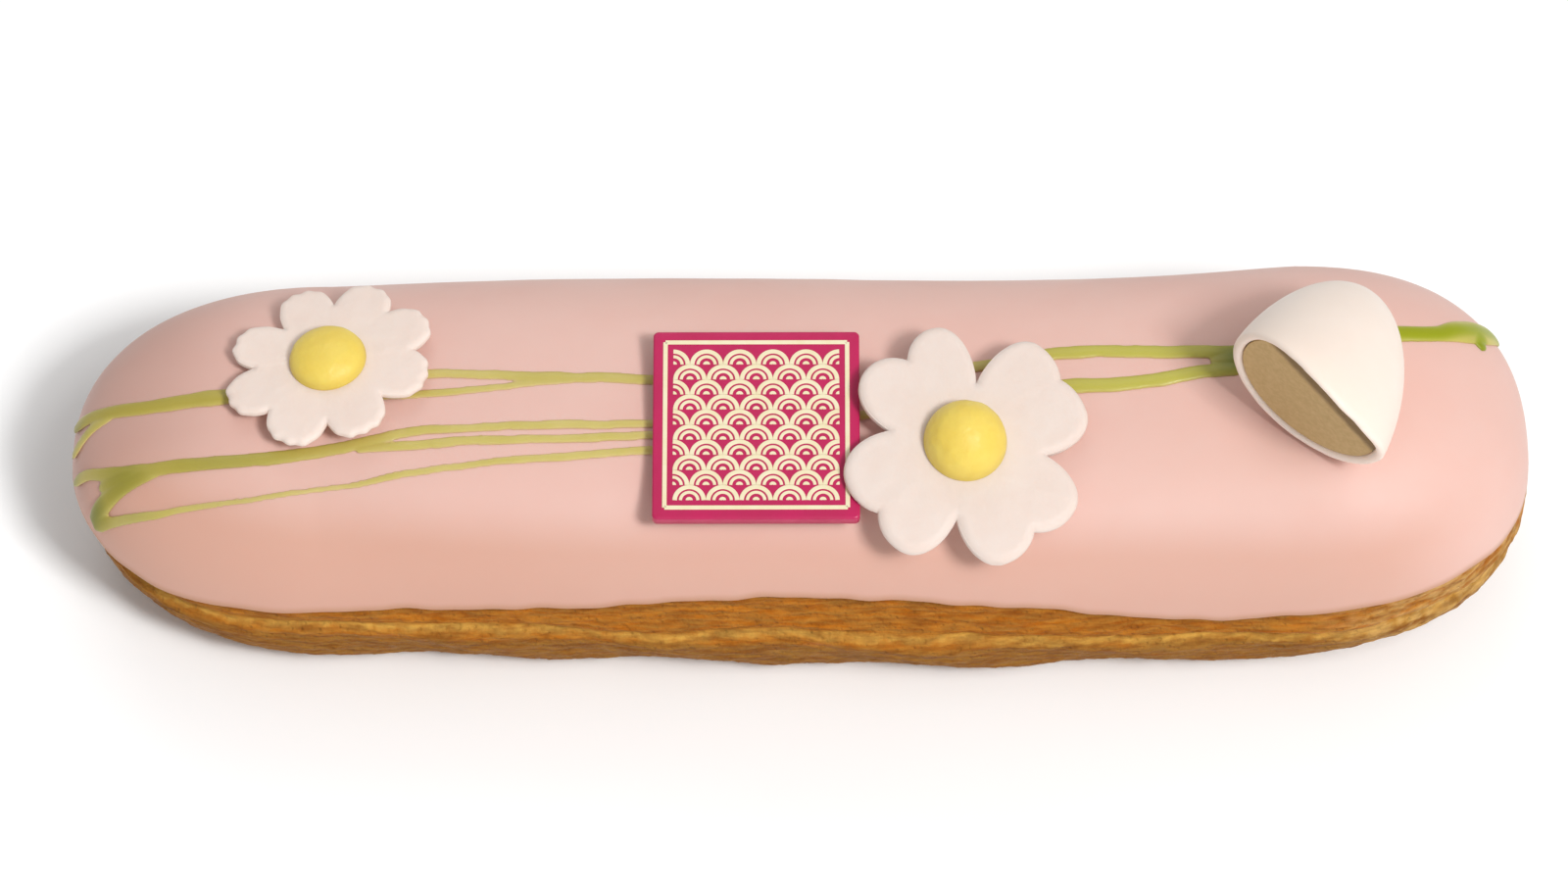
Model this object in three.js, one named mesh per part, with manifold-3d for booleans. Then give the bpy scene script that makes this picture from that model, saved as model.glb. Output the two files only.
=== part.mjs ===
// Iced eclair: a baked choux finger whose top was dipped in pink fondant, with piped green stems, two sugar
// flowers, a square chocolate plaque and one half of a filled white chocolate egg laid on the icing.
// Millimetres. +Z is up, +X runs along the finger and -Y faces the viewer. The origin is the middle of the
// base.
import * as THREE from "three";
import { mergeVertices } from "three/addons/utils/BufferGeometryUtils.js";
import Module from "manifold-3d";

const wasm = await Module();
wasm.setup();

// Driving dimensions of the finger.
const LENGTH = 141.3; // tip to tip over the icing
const HEIGHT = 27.5; // crown of the icing above the base
const FRONT_WIDTH = 18.6; // outline of the icing from the spine, at mid length
const BACK_WIDTH = 18;
const WIDEST_LEVEL = 9; // height of the choux's widest level
const LEFT_CAP = 25.5; // length of each rounded end
const RIGHT_CAP = 20;
const LEFT_ROUNDNESS = { front: 2.2, back: 2.2 }; // superellipse powers of the ends in plan
const RIGHT_ROUNDNESS = { front: 2.4, back: 2.05 };
const SHOULDER_ROUNDNESS = 2.8;
const BASE_ROUNDNESS = 3.4; // of the flat-bottomed lower half
const TUCKED_ROUNDNESS = 2; // the base's at the right tip, where the foot tucks under
const BASE_SINK = 0.6; // how far the lower half is cut off flat
const GAP = 0.3; // clearance between pieces that touch

// Unevenness along the finger: each swell is centred at x, fades over span and adds or takes away by.
const BACK_SWELLS = [
  { x: 50, span: 16, by: 1.5 },
  { x: 18, span: 16, by: -0.4 },
];
const FRONT_SWELLS = [
  { x: 18, span: 12, by: 0.5 },
  { x: -38, span: 14, by: -0.3 },
];
const CROWN_SWELLS = [
  { x: 48, span: 18, by: 0.8 },
  { x: -55, span: 22, by: -2.8 },
];

// Crust relief, which fades out below the icing: a bulge under the icing's edge, lumps and swells round the
// finger, and the split where the side opened in the oven.
const RELIEF = { top: 14, fade: 4 };
const BULGE = { level: 9.3, span: 3.5, by: 0.85 };
const LUMPS = { height: 0.25, waves: 13 };
const SPLIT = { level: 10.4, depth: 0.7, width: 0.7, wander: 0.35, waves: 7 };
const CRUST_SWELLS = [
  { x: 60, span: 8, by: -1 },
  { x: 72, span: 6, by: 0.6 },
  { x: 8, span: 18, by: 0.5 },
  { x: -50, span: 18, by: -0.4 },
  { x: -68, span: 12, by: -1 },
];

// The fondant skin, which thins towards its wavy lower edge.
const ICING = 1.3;
const EDGE_TAPER = { by: 0.4, share: 0.36 };
const ICING_EDGE = { level: 14.4, wave: 0.1, waves: 9 };
const EDGE_SWELLS = [
  { x: 4, span: 26, by: 2.5 },
  { x: 36, span: 10, by: -0.6 },
  { x: 61, span: 9, by: 1 },
  { x: -62, span: 13, by: -0.9 },
];

// Piped stems, as plan points [x, y, width] from the left tip to the right. The bead is this high for its
// width.
const STEM_HEIGHT = 0.3;
const STEM_STEP = 2.6;
const STEMS = {
  upper: [
    [-69, 1.6, 1.2],
    [-67, 0.7, 1.7],
    [-62.3, -0.3, 1.9],
    [-55, -0.2, 1.8],
    [-45, 0.8, 1.2],
    [-35.2, 1.6, 1],
    [-24, 1.7, 0.9],
    [-14.8, 0.4, 0.9],
    [4, -0.6, 0.9],
    [17.2, 1.8, 1],
    [24.6, 3.4, 1.2],
    [39.9, 2.8, 1.4],
    [44, 3, 1.2],
    [55.5, 4.1, 1.2],
    [58, 4.5, 1.8],
    [61, 5.5, 2.7],
    [63, 6.1, 2.4],
    [64.8, 6.5, 2.8],
    [66.2, 6.9, 2.2],
    [67.2, 7.2, 1.3],
  ],
  upperTail: [
    [-65, 0, 1.2],
    [-67.8, -0.7, 1.2],
    [-69, -1.5, 1],
  ],
  upperStrand: [
    [-44, -0.6, 0.8],
    [-35.1, -0.6, 0.9],
    [-29.6, 0, 0.8],
    [-24, 0.7, 0.8],
    [-18, 1.1, 0.7],
  ],
  lower: [
    [-68.9, -4.3, 1],
    [-67.9, -4.9, 1.3],
    [-65.6, -6, 1.5],
    [-61.7, -6.8, 1.5],
    [-58.8, -7, 1.4],
    [-54.1, -7.1, 1.2],
    [-48.5, -6.8, 1.2],
    [-43, -6.2, 1.3],
    [-35, -5.1, 1.3],
    [-23.9, -4.7, 0.95],
    [-14.7, -4.4, 0.9],
    [5.5, -3.9, 1.1],
    [14, -1.6, 1],
    [25.5, -0.5, 1.2],
    [35.2, 0.5, 1.2],
    [42, 1.2, 1.3],
  ],
  lowerStrand: [
    [-34, -5, 0.9],
    [-23.9, -5.8, 0.85],
    [-14.7, -5.4, 0.85],
    [-5, -4.4, 0.8],
  ],
  front: [
    [-60, -7, 1.1],
    [-62.8, -7.4, 1.5],
    [-65.4, -8.1, 1.7],
    [-66.6, -8.9, 1.8],
    [-65.2, -9.9, 1.2],
    [-61.6, -10.7, 1],
    [-58.8, -10.9, 0.9],
    [-53.1, -10.8, 0.8],
    [-47.6, -10.3, 0.8],
    [-42, -9.7, 0.8],
    [-37, -8.7, 0.8],
    [-31.3, -8.1, 0.8],
    [-14.7, -7.1, 0.85],
    [-6, -6.2, 0.8],
  ],
};

// Toppings, each seated on the icing at x, y and lifted clear of the stems it lies on. A flower's lobes are
// given as [angle, share of the radius], and its outline falls to gaps of the radius between each and the
// next. A lobe is widest at middle of the radius.
const DAISY = {
  x: -44.4,
  y: 2.2,
  lift: 0.9,
  tip: -5,
  drape: 0.4,
  radius: 9.9,
  thickness: 1.3,
  lobes: [[24, 1.04], [68, 1], [109, 0.96], [165, 0.96], [201, 1.03], [250, 1], [293, 0.94], [349, 0.98]],
  gaps: [0.8, 0.7, 0.62, 0.72, 0.78, 0.72, 0.68, 0.82],
  middle: 0.64,
  lobeRoundness: 2.5,
  steps: 5,
  heart: { radius: 3.65, height: 1.9 },
};
const BLOSSOM = {
  x: 15.3,
  y: -7.85,
  lift: 1.8,
  lean: 5,
  drape: 0.3,
  radius: 12.05,
  thickness: 1.5,
  lobes: [[17, 1], [57, 1], [103, 1], [142, 0.97], [200, 0.98], [240, 1], [288, 1], [328, 1]],
  gaps: [0.88, 0.52, 0.82, 0.6, 0.88, 0.62, 0.88, 0.64],
  middle: 0.62,
  lobeRoundness: 2.1,
  steps: 5,
  heart: { radius: 3.9, height: 3.8 },
};
const DRAPE_LIMIT = 4; // a flower follows the icing less and less as it falls away by this much
const PLAQUE = {
  x: -4.1,
  y: -5.7,
  lift: 0.6,
  side: 19.4,
  thickness: 1.3,
  corner: 0.5,
  cornerSteps: 3,
  bevel: 0.2,
};

// The half egg lies on its side: the way in from its cut turns from +X towards the back and pitches up.
// The cut isn't square to the egg, so the closed end is skewed to the left and sags onto the icing. The
// shell's rim is drawn out past the cut by lip, most at that angle round it, with a fade to the closed end.
const EGG = {
  x: 47,
  y: -8.35,
  turn: 53.1,
  pitch: 3.6,
  radius: 8.68,
  depth: 14.3,
  fullness: 1.42,
  skew: 0.185,
  sag: 0.25,
  lip: { by: 2.55, at: 215, fade: 5 },
};
const EGG_WALL = 1;
const FILLING_GAP = 0.5; // more than elsewhere, because the drawn-out rim narrows the shell
const FILLING_RECESS = 0.35;

const degrees = THREE.MathUtils.degToRad;
const { clamp, lerp } = THREE.MathUtils;
const smooth = (offset, span) => Math.exp(-((offset / span) ** 2));
const swell = (list, x) => list.reduce((sum, s) => sum + s.by * smooth(x - s.x, s.span), 0);
const power = (value, exponent) => Math.sign(value) * Math.abs(value) ** exponent;

// Outline of the choux: half width on each side of the spine, and the crown's height along it.
const skin = GAP + ICING;
const spineLeft = -LENGTH / 2 + LEFT_CAP;
const spineRight = LENGTH / 2 - RIGHT_CAP;
const frontReach = (x) => FRONT_WIDTH - skin + swell(FRONT_SWELLS, x);
const backReach = (x) => BACK_WIDTH - skin + swell(BACK_SWELLS, x);
const crown = (x) => HEIGHT - skin + swell(CROWN_SWELLS, x);

// One frame for each step round the finger, anticlockwise from the front left: a point on the spine and the
// vector from it to the outline.
const SIDE_STEPS = 26;
const LEFT_STEPS = 14;
const RIGHT_STEPS = 12;
function frames(grow) {
  const list = [];
  const straight = (from, to, reach) => {
    for (let i = 0; i < SIDE_STEPS; i += 1) {
      const x = lerp(from, to, i / SIDE_STEPS);
      list.push({ x, toX: 0, toY: reach(x) });
    }
  };
  const turn = (x, cap, roundness, from, steps) => {
    for (let i = 0; i < steps; i += 1) {
      const angle = degrees(from + (180 * i) / steps);
      const [side, exponent] = Math.sin(angle) < 0
        ? [frontReach(x), 2 / roundness.front]
        : [backReach(x), 2 / roundness.back];
      list.push({
        x,
        toX: (cap - skin + grow) * power(Math.cos(angle), exponent),
        toY: (side + grow) * power(Math.sin(angle), exponent),
      });
    }
  };
  straight(spineLeft, spineRight, (x) => -frontReach(x) - grow);
  turn(spineRight, RIGHT_CAP, RIGHT_ROUNDNESS, -90, RIGHT_STEPS);
  straight(spineRight, spineLeft, (x) => backReach(x) + grow);
  turn(spineLeft, LEFT_CAP, LEFT_ROUNDNESS, 90, LEFT_STEPS);
  return list;
}

// Shared vertices merged and collapsed triangles dropped.
const WELD = 1e-3;
function tidied(geometry) {
  geometry.deleteAttribute("normal");
  geometry.deleteAttribute("uv");
  const merged = mergeVertices(geometry, WELD);
  const source = merged.index.array;
  const kept = [];
  for (let i = 0; i < source.length; i += 3) {
    const [a, b, c] = source.slice(i, i + 3);
    if (a !== b && b !== c && c !== a) kept.push(a, b, c);
  }
  merged.setIndex(kept);
  merged.computeVertexNormals();
  return merged;
}

// A closed solid from rings of points that run anticlockwise about the way from the first ring to the last.
// The first and last rings collapse onto a line or a point.
function solidFromRings(rings) {
  const count = rings[0].length;
  const positions = rings.flat().flatMap((p) => [p.x, p.y, p.z]);
  const index = [];
  for (let k = 0; k + 1 < rings.length; k += 1) {
    for (let j = 0; j < count; j += 1) {
      const a = k * count + j;
      const b = k * count + ((j + 1) % count);
      index.push(a, b, b + count, a, b + count, a + count);
    }
  }
  const geometry = new THREE.BufferGeometry();
  geometry.setAttribute("position", new THREE.Float32BufferAttribute(positions, 3));
  geometry.setIndex(index);
  return tidied(geometry);
}

// A body turned about +Z from a profile of [radius, height] points that starts and ends on the axis.
function turned(profile, segments) {
  const points = profile.map(([radius, height]) => new THREE.Vector2(Math.max(0, radius), height));
  return tidied(new THREE.LatheGeometry(points, segments).rotateX(Math.PI / 2));
}

// Choux. Its lower half is a superellipse by height, cut flat at the base, and its upper half one by angle.
const CRUST_LEVELS = [0, 0.3, 1, 2, 3.2, 4.6, 6, 7.4, 8.4, 9];
const CROWN_ANGLES = [1, 2, 3, 4.4, 7, 14, 26, 42, 60, 90];
function sectionPoint(frame, angle, grow) {
  const reach = power(Math.cos(angle), 2 / SHOULDER_ROUNDNESS);
  const rise = crown(frame.x) + grow - WIDEST_LEVEL;
  const z = WIDEST_LEVEL + rise * power(Math.sin(angle), 2 / SHOULDER_ROUNDNESS);
  return new THREE.Vector3(frame.x + frame.toX * reach, frame.toY * reach, z);
}
function crustPoint(frame, level) {
  const drop = (WIDEST_LEVEL - level) / (WIDEST_LEVEL + BASE_SINK);
  const roundness = lerp(BASE_ROUNDNESS, TUCKED_ROUNDNESS, clamp(frame.toX / RIGHT_CAP, 0, 1));
  const reach = (1 - drop ** roundness) ** (1 / roundness);
  return new THREE.Vector3(frame.x + frame.toX * reach, frame.toY * reach, level);
}
function chouxGeometry() {
  const loop = frames(0);
  const relieved = (p, frame, j) => {
    const around = (2 * Math.PI * j) / loop.length;
    const split = p.z - SPLIT.level - SPLIT.wander * Math.sin(SPLIT.waves * around);
    const bulge = BULGE.by * smooth(p.z - BULGE.level, BULGE.span);
    const lump = LUMPS.height * Math.sin(LUMPS.waves * around + p.z / 2);
    const dent = SPLIT.depth * smooth(split, SPLIT.width);
    const fade = clamp((RELIEF.top - p.z) / RELIEF.fade, 0, 1);
    const outward = fade * (bulge + lump + swell(CRUST_SWELLS, p.x) - dent);
    const reach = Math.hypot(frame.toX, frame.toY);
    p.x += (outward * frame.toX) / reach;
    p.y += (outward * frame.toY) / reach;
    return p;
  };
  const base = loop.map((frame) => new THREE.Vector3(frame.x, 0, 0));
  const crust = CRUST_LEVELS.map((level) => loop.map((frame, j) => {
    const p = crustPoint(frame, level);
    return relieved(p, frame, j);
  }));
  const top = CROWN_ANGLES.map((angle) => loop.map((frame, j) => {
    const p = sectionPoint(frame, degrees(angle), 0);
    return angle < 90 ? relieved(p, frame, j) : p;
  }));
  return solidFromRings([base, ...crust, ...top]);
}

// Icing: a skin from its wavy lower edge over the crown, with a rounded lip.
const ICING_SHARES = [1, 0.84, 0.68, 0.52, 0.36, 0.2, 0.08, 0];
function icingGeometry() {
  const surface = (grow, share) => {
    const loop = frames(grow);
    return loop.map((frame, j) => {
      const wave = ICING_EDGE.wave * Math.sin((2 * Math.PI * ICING_EDGE.waves * j) / loop.length);
      const edge = ICING_EDGE.level + wave + swell(EDGE_SWELLS, frame.x + frame.toX) - WIDEST_LEVEL;
      const edgeShare = edge / (crown(frame.x) + grow - WIDEST_LEVEL);
      const lowest = Math.asin(edgeShare ** (SHOULDER_ROUNDNESS / 2));
      return sectionPoint(frame, lerp(lowest, Math.PI / 2, share), grow);
    });
  };
  const thickness = (share) => ICING * (1 - EDGE_TAPER.by * Math.max(0, 1 - share / EDGE_TAPER.share) ** 2);
  const inner = ICING_SHARES.map((share) => surface(GAP, share));
  const outer = ICING_SHARES.toReversed().map((share) => surface(GAP + thickness(share), share));
  const drop = new THREE.Vector3(0, 0, -thickness(0) / 2);
  const lip = surface(GAP + thickness(0) / 2, 0).map((p) => p.add(drop));
  return solidFromRings([...inner, lip, ...outer]);
}

// Height of the icing's upper face over a plan point, and its normal there.
function icingTop(x, y) {
  const spine = clamp(x, spineLeft, spineRight);
  const [cap, end] = x < spine ? [LEFT_CAP, LEFT_ROUNDNESS] : [RIGHT_CAP, RIGHT_ROUNDNESS];
  const [reach, roundness] = y < 0 ? [frontReach(spine), end.front] : [backReach(spine), end.back];
  const side = reach + skin;
  const plan = (Math.abs(x - spine) / cap) ** roundness + (Math.abs(y) / side) ** roundness;
  const share = Math.min(1, plan ** (1 / roundness));
  const rise = crown(spine) + skin - WIDEST_LEVEL;
  return WIDEST_LEVEL + rise * (1 - share ** SHOULDER_ROUNDNESS) ** (1 / SHOULDER_ROUNDNESS);
}
const SLOPE_STEP = 0.2;
function icingNormal(x, y) {
  const step = SLOPE_STEP;
  const slopeX = (icingTop(x + step, y) - icingTop(x - step, y)) / (2 * step);
  const slopeY = (icingTop(x, y + step) - icingTop(x, y - step)) / (2 * step);
  return new THREE.Vector3(-slopeX, -slopeY, 1).normalize();
}

// A stem: a bead along its route, half sunk in the icing, with pointed ends.
const BEAD_ANGLES = [-90, -20, 35, 90, 145, 200];
function stemGeometry(route) {
  const curve = new THREE.CatmullRomCurve3(route.map((point) => new THREE.Vector3(...point)));
  const samples = curve.getSpacedPoints(Math.ceil(curve.getLength() / STEM_STEP));
  const middles = samples.map((p) => new THREE.Vector3(p.x, p.y, icingTop(p.x, p.y)));
  const last = samples.length - 1;
  const rings = samples.map((sample, i) => {
    const normal = icingNormal(sample.x, sample.y);
    const along = middles[Math.min(i + 1, last)].clone().sub(middles[Math.max(i - 1, 0)]).normalize();
    const across = normal.clone().cross(along).normalize();
    const width = i === 0 || i === last ? 0 : sample.z;
    return BEAD_ANGLES.map((angle) => middles[i].clone()
      .addScaledVector(across, (width / 2) * Math.cos(degrees(angle)))
      .addScaledVector(normal, width * STEM_HEIGHT * Math.sin(degrees(angle))));
  });
  return solidFromRings(rings);
}

// Joining closed geometries into one.
function toSolid(geometry) {
  const vertProperties = geometry.getAttribute("position").array;
  const triVerts = Uint32Array.from(geometry.index.array);
  return new wasm.Manifold(new wasm.Mesh({ numProp: 3, vertProperties, triVerts }));
}
function joined(geometries) {
  const mesh = geometries.map(toSolid).reduce((whole, next) => whole.add(next)).getMesh();
  const geometry = new THREE.BufferGeometry();
  geometry.setAttribute("position", new THREE.BufferAttribute(mesh.vertProperties, 3));
  geometry.setIndex(new THREE.BufferAttribute(mesh.triVerts, 1));
  geometry.computeVertexNormals();
  return geometry;
}

// A flower's outline: each side of a lobe is part of a superellipse, as wide as the gap beside it allows.
const OUTLINE_HALVINGS = 24;
function flowerOutline({ radius, lobes, gaps, middle, lobeRoundness, steps }) {
  const outline = [];
  const halfLobe = (index, side) => {
    const [at, reach] = lobes[index];
    const [next] = lobes.at((index + side) % lobes.length);
    const half = degrees(THREE.MathUtils.euclideanModulo(side * (next - at), 360) / 2);
    const gap = gaps.at(side > 0 ? index : index - 1) / reach;
    const inward = Math.abs(gap * Math.cos(half) - middle) / (1 - middle);
    const width = (gap * Math.sin(half)) / (1 - inward ** lobeRoundness) ** (1 / lobeRoundness);
    for (let i = 0; i < steps; i += 1) {
      const angle = half * (side > 0 ? i / steps : 1 - i / steps);
      let [inside, outside] = [gap, 1];
      for (let k = 0; k < OUTLINE_HALVINGS; k += 1) {
        const r = (inside + outside) / 2;
        const along = Math.abs(r * Math.cos(angle) - middle) / (1 - middle);
        const across = (r * Math.sin(angle)) / width;
        if (along ** lobeRoundness + across ** lobeRoundness < 1) inside = r;
        else outside = r;
      }
      const turn = degrees(at) + side * angle;
      const length = radius * reach * inside;
      outline.push({ x: length * Math.cos(turn), y: length * Math.sin(turn) });
    }
  };
  lobes.forEach((lobe, index) => {
    halfLobe(index, -1);
    halfLobe(index, 1);
  });
  return outline;
}

// A flower's petals: rings at shares of its outline, which follow the icing below in part.
const PETAL_RINGS = [
  { share: 0, level: 0 },
  { share: 0.5, level: 0 },
  { share: 0.94, level: 0.05 },
  { share: 1, level: 0.45 },
  { share: 0.95, level: 0.85 },
  { share: 0.6, level: 1 },
  { share: 0, level: 1 },
];
function petalsGeometry(flower, seatGroup) {
  const droop = (x, y) => {
    const below = seatGroup.localToWorld(new THREE.Vector3(x, y, -flower.lift));
    const sag = Math.max(0, below.z - icingTop(below.x, below.y));
    return (flower.drape * sag) / (1 + sag / DRAPE_LIMIT);
  };
  const outline = flowerOutline(flower);
  const rings = PETAL_RINGS.map(({ share, level }) => outline.map((p) => {
    const [x, y] = [p.x * share, p.y * share];
    return new THREE.Vector3(x, y, level * flower.thickness - droop(x, y));
  }));
  return solidFromRings(rings);
}

// The domed heart of a flower.
const HEART_ANGLES = [0, 18, 36, 54, 72, 90];
const HEART_SEGMENTS = 18;
function heartGeometry(heart) {
  const dome = HEART_ANGLES.map((angle) => [
    heart.radius * Math.cos(degrees(angle)),
    heart.height * Math.sin(degrees(angle)),
  ]);
  return turned([[0, 0], ...dome], HEART_SEGMENTS);
}

// The plaque: a square with small corner arcs and bevelled edges.
function plaqueGeometry() {
  const half = PLAQUE.side / 2 - PLAQUE.bevel;
  const inner = half - PLAQUE.corner;
  const shape = new THREE.Shape();
  for (let i = 0; i < 4; i += 1) {
    const middle = 45 + 90 * i;
    const x = inner * Math.sign(Math.cos(degrees(middle)));
    const y = inner * Math.sign(Math.sin(degrees(middle)));
    shape.absarc(x, y, PLAQUE.corner, degrees(middle - 45), degrees(middle + 45), false);
  }
  const geometry = new THREE.ExtrudeGeometry(shape, {
    depth: PLAQUE.thickness - 2 * PLAQUE.bevel,
    curveSegments: PLAQUE.cornerSteps,
    bevelThickness: PLAQUE.bevel,
    bevelSize: PLAQUE.bevel,
    bevelSegments: 1,
  });
  return tidied(geometry.translate(0, 0, PLAQUE.bevel));
}

// The half egg: profiles from the open rim at height 0 to the closed end.
const EGG_ANGLES = [0, 10, 21, 33, 46, 60, 75, 90];
const EGG_SEGMENTS = 26;
function eggProfile(inset, start) {
  const depth = EGG.depth - inset;
  return EGG_ANGLES.map((angle) => {
    const height = lerp(start, depth, Math.sin(degrees(angle)));
    return [(EGG.radius - inset) * Math.sqrt(Math.max(0, 1 - (height / depth) ** EGG.fullness)), height];
  });
}
const eggShear = new THREE.Matrix4().makeShear(0, 0, 0, 0, EGG.sag, EGG.skew);
function shellGeometry() {
  const geometry = turned([...eggProfile(EGG_WALL, 0).toReversed(), ...eggProfile(0, 0)], EGG_SEGMENTS);
  const positions = geometry.getAttribute("position");
  for (let i = 0; i < positions.count; i += 1) {
    const p = new THREE.Vector3().fromBufferAttribute(positions, i);
    const facing = Math.max(0, Math.cos(Math.atan2(p.y, p.x) - degrees(EGG.lip.at)));
    const fade = (1 - p.z / EGG.depth) ** EGG.lip.fade;
    positions.setZ(i, p.z - EGG.lip.by * facing ** 2 * fade);
  }
  geometry.computeVertexNormals();
  return geometry.applyMatrix4(eggShear);
}
function fillingGeometry() {
  const side = eggProfile(EGG_WALL + FILLING_GAP, FILLING_RECESS);
  return turned([[0, FILLING_RECESS], ...side], EGG_SEGMENTS).applyMatrix4(eggShear);
}

// The scene graph.
const eclair = new THREE.Group();
function add(name, geometry, material, parent = eclair) {
  const mesh = new THREE.Mesh(geometry, material);
  mesh.name = name;
  parent.add(mesh);
  return mesh;
}
const finish = (color, roughness) => new THREE.MeshStandardMaterial({ color, roughness, metalness: 0 });

// A group that stands on the icing, its +Z along the icing's normal but for a lean to +X and a tip to -Y.
function seat({ x, y, lift, lean = 0, tip = 0 }) {
  const normal = icingNormal(x, y);
  const along = new THREE.Vector3(normal.z, 0, -normal.x).normalize();
  const across = normal.clone().cross(along);
  const group = new THREE.Group();
  group.setRotationFromMatrix(new THREE.Matrix4().makeBasis(along, across, normal));
  group.rotateY(degrees(lean));
  group.rotateX(degrees(tip));
  group.position.set(x, y, icingTop(x, y)).addScaledVector(normal, lift);
  group.updateMatrixWorld();
  eclair.add(group);
  return group;
}

// Lowers a group until the lowest vertex of its geometry is a gap above the icing.
function lower(group, geometry) {
  const positions = geometry.getAttribute("position");
  let height = 0;
  group.updateMatrixWorld();
  for (let i = 0; i < positions.count; i += 1) {
    const p = new THREE.Vector3().fromBufferAttribute(positions, i).applyMatrix4(group.matrixWorld);
    height = Math.max(height, icingTop(p.x, p.y) + GAP - p.z);
  }
  group.position.z = height;
}

const sugarWhite = finish("#f2e2dc", 0.55);
const sugarYellow = finish("#f8dc74", 0.5);

add("choux", chouxGeometry(), finish("#b5772f", 0.75));
add("icing", joined([icingGeometry(), ...Object.values(STEMS).map(stemGeometry)]), finish("#eec3b5", 0.35));

for (const [name, flower] of Object.entries({ daisy: DAISY, blossom: BLOSSOM })) {
  const group = seat(flower);
  add(`${name}_petals`, petalsGeometry(flower, group), sugarWhite, group);
  const heart = add(`${name}_heart`, heartGeometry(flower.heart), sugarYellow, group);
  heart.position.z = flower.thickness + GAP;
}

add("plaque", plaqueGeometry(), finish("#cf2f6b", 0.4), seat(PLAQUE));

const egg = new THREE.Group();
egg.position.set(EGG.x, EGG.y, 0);
egg.rotation.set(0, degrees(90 - EGG.pitch), degrees(EGG.turn), "ZYX");
const shell = add("egg_shell", shellGeometry(), finish("#fbeadf", 0.4), egg);
add("egg_filling", fillingGeometry(), finish("#b0946b", 0.65), egg);
lower(egg, shell.geometry);
eclair.add(egg);

export default eclair;
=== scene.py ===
import math

import bmesh
import bpy
import numpy as np
from mathutils import Matrix, Vector, noise
from mathutils.kdtree import KDTree


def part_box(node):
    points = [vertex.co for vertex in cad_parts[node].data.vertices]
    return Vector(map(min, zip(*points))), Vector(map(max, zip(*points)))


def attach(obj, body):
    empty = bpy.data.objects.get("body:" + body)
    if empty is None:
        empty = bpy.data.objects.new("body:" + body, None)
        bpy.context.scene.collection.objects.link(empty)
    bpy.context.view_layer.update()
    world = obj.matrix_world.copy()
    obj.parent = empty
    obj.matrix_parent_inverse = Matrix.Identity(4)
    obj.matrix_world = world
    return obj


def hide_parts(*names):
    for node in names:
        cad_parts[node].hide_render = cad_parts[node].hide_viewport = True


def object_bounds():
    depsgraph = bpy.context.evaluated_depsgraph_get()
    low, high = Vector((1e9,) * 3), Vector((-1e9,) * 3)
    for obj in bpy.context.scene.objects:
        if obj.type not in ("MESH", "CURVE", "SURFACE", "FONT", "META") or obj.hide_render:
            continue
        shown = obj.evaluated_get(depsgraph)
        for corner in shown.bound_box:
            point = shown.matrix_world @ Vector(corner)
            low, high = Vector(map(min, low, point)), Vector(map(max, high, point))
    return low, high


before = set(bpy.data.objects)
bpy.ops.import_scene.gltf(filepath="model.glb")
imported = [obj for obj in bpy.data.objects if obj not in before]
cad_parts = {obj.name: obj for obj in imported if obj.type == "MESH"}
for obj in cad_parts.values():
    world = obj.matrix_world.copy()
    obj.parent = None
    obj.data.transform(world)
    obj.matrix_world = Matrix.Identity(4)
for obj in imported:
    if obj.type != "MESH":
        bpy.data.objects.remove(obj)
cadBox = [list(corner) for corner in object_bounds()]
mm = 0.001  # shapes are worked out in millimetres and written in metres
lowest, highest = (np.array(corner) / mm for corner in cadBox)
print("frame loaded with", len(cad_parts), "nodes")


# small curves that every piece uses
def smooth(offset, span):
    return np.exp(-(offset / span) ** 2)


def swell(bumps, x):  # each stands at an x, over a span, by a height
    return sum(by * smooth(x - at, span) for at, span, by in bumps)


def power(value, exponent):
    return np.sign(value) * np.abs(value) ** exponent


def ease(low, high, value):  # 0 at low, 1 at high
    share = np.clip((value - low) / (high - low), 0, 1)
    return share * share * (3 - 2 * share)


def grain(points, kind):  # layered noise, about -1 to 1, in lumps of the kind's size
    flat = (np.asarray(points, float) * kind.get("stretch", 1) / kind["size"]).reshape(-1, 3)
    values = [noise.fractal(Vector(point), 1.0, 2.0, kind["octaves"]) for point in flat]
    return np.array(values).reshape(np.shape(points)[:-1])


# meshes from rings of points: each row is a closed loop, and the end rows collapse onto a point or a line
def weld(mesh):
    work = bmesh.new()
    work.from_mesh(mesh)
    bmesh.ops.remove_doubles(work, verts=work.verts, dist=1e-4 * mm)
    bmesh.ops.recalc_face_normals(work, faces=work.faces)
    work.to_mesh(mesh)
    work.free()
    mesh.shade_smooth()


def setMasks(mesh, masks):  # values on the points, which the material paints by
    for maskName, values in masks.items():
        layer = mesh.attributes.new(maskName, "FLOAT", "POINT")
        layer.data.foreach_set("value", np.ascontiguousarray(values, np.float32).ravel())


def ringsMesh(name, rings, scale=mm, **masks):
    rows, columns = rings.shape[:2]
    rings = np.clip(rings, lowest, highest)  # relief doesn't leave the solid's box
    index = np.arange(rows * columns).reshape(rows, columns)
    ahead = np.roll(index, -1, axis=1)
    faces = np.stack([index[:-1], ahead[:-1], ahead[1:], index[1:]], axis=-1).reshape(-1, 4)
    mesh = bpy.data.meshes.new(name)
    mesh.from_pydata((rings.reshape(-1, 3) * scale).tolist(), [], faces.tolist())
    setMasks(mesh, masks)
    weld(mesh)
    return mesh


def addObject(name, data):
    made = bpy.data.objects.new(name, data)
    bpy.context.scene.collection.objects.link(made)
    return made


def addPiece(name, mesh, material, slot, *nodes):
    piece = addObject(name, mesh)
    mesh.materials.clear()
    mesh.materials.append(material)
    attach(piece, "root")
    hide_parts(*nodes)
    print(name, "made with", len(mesh.polygons), "faces")


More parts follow.
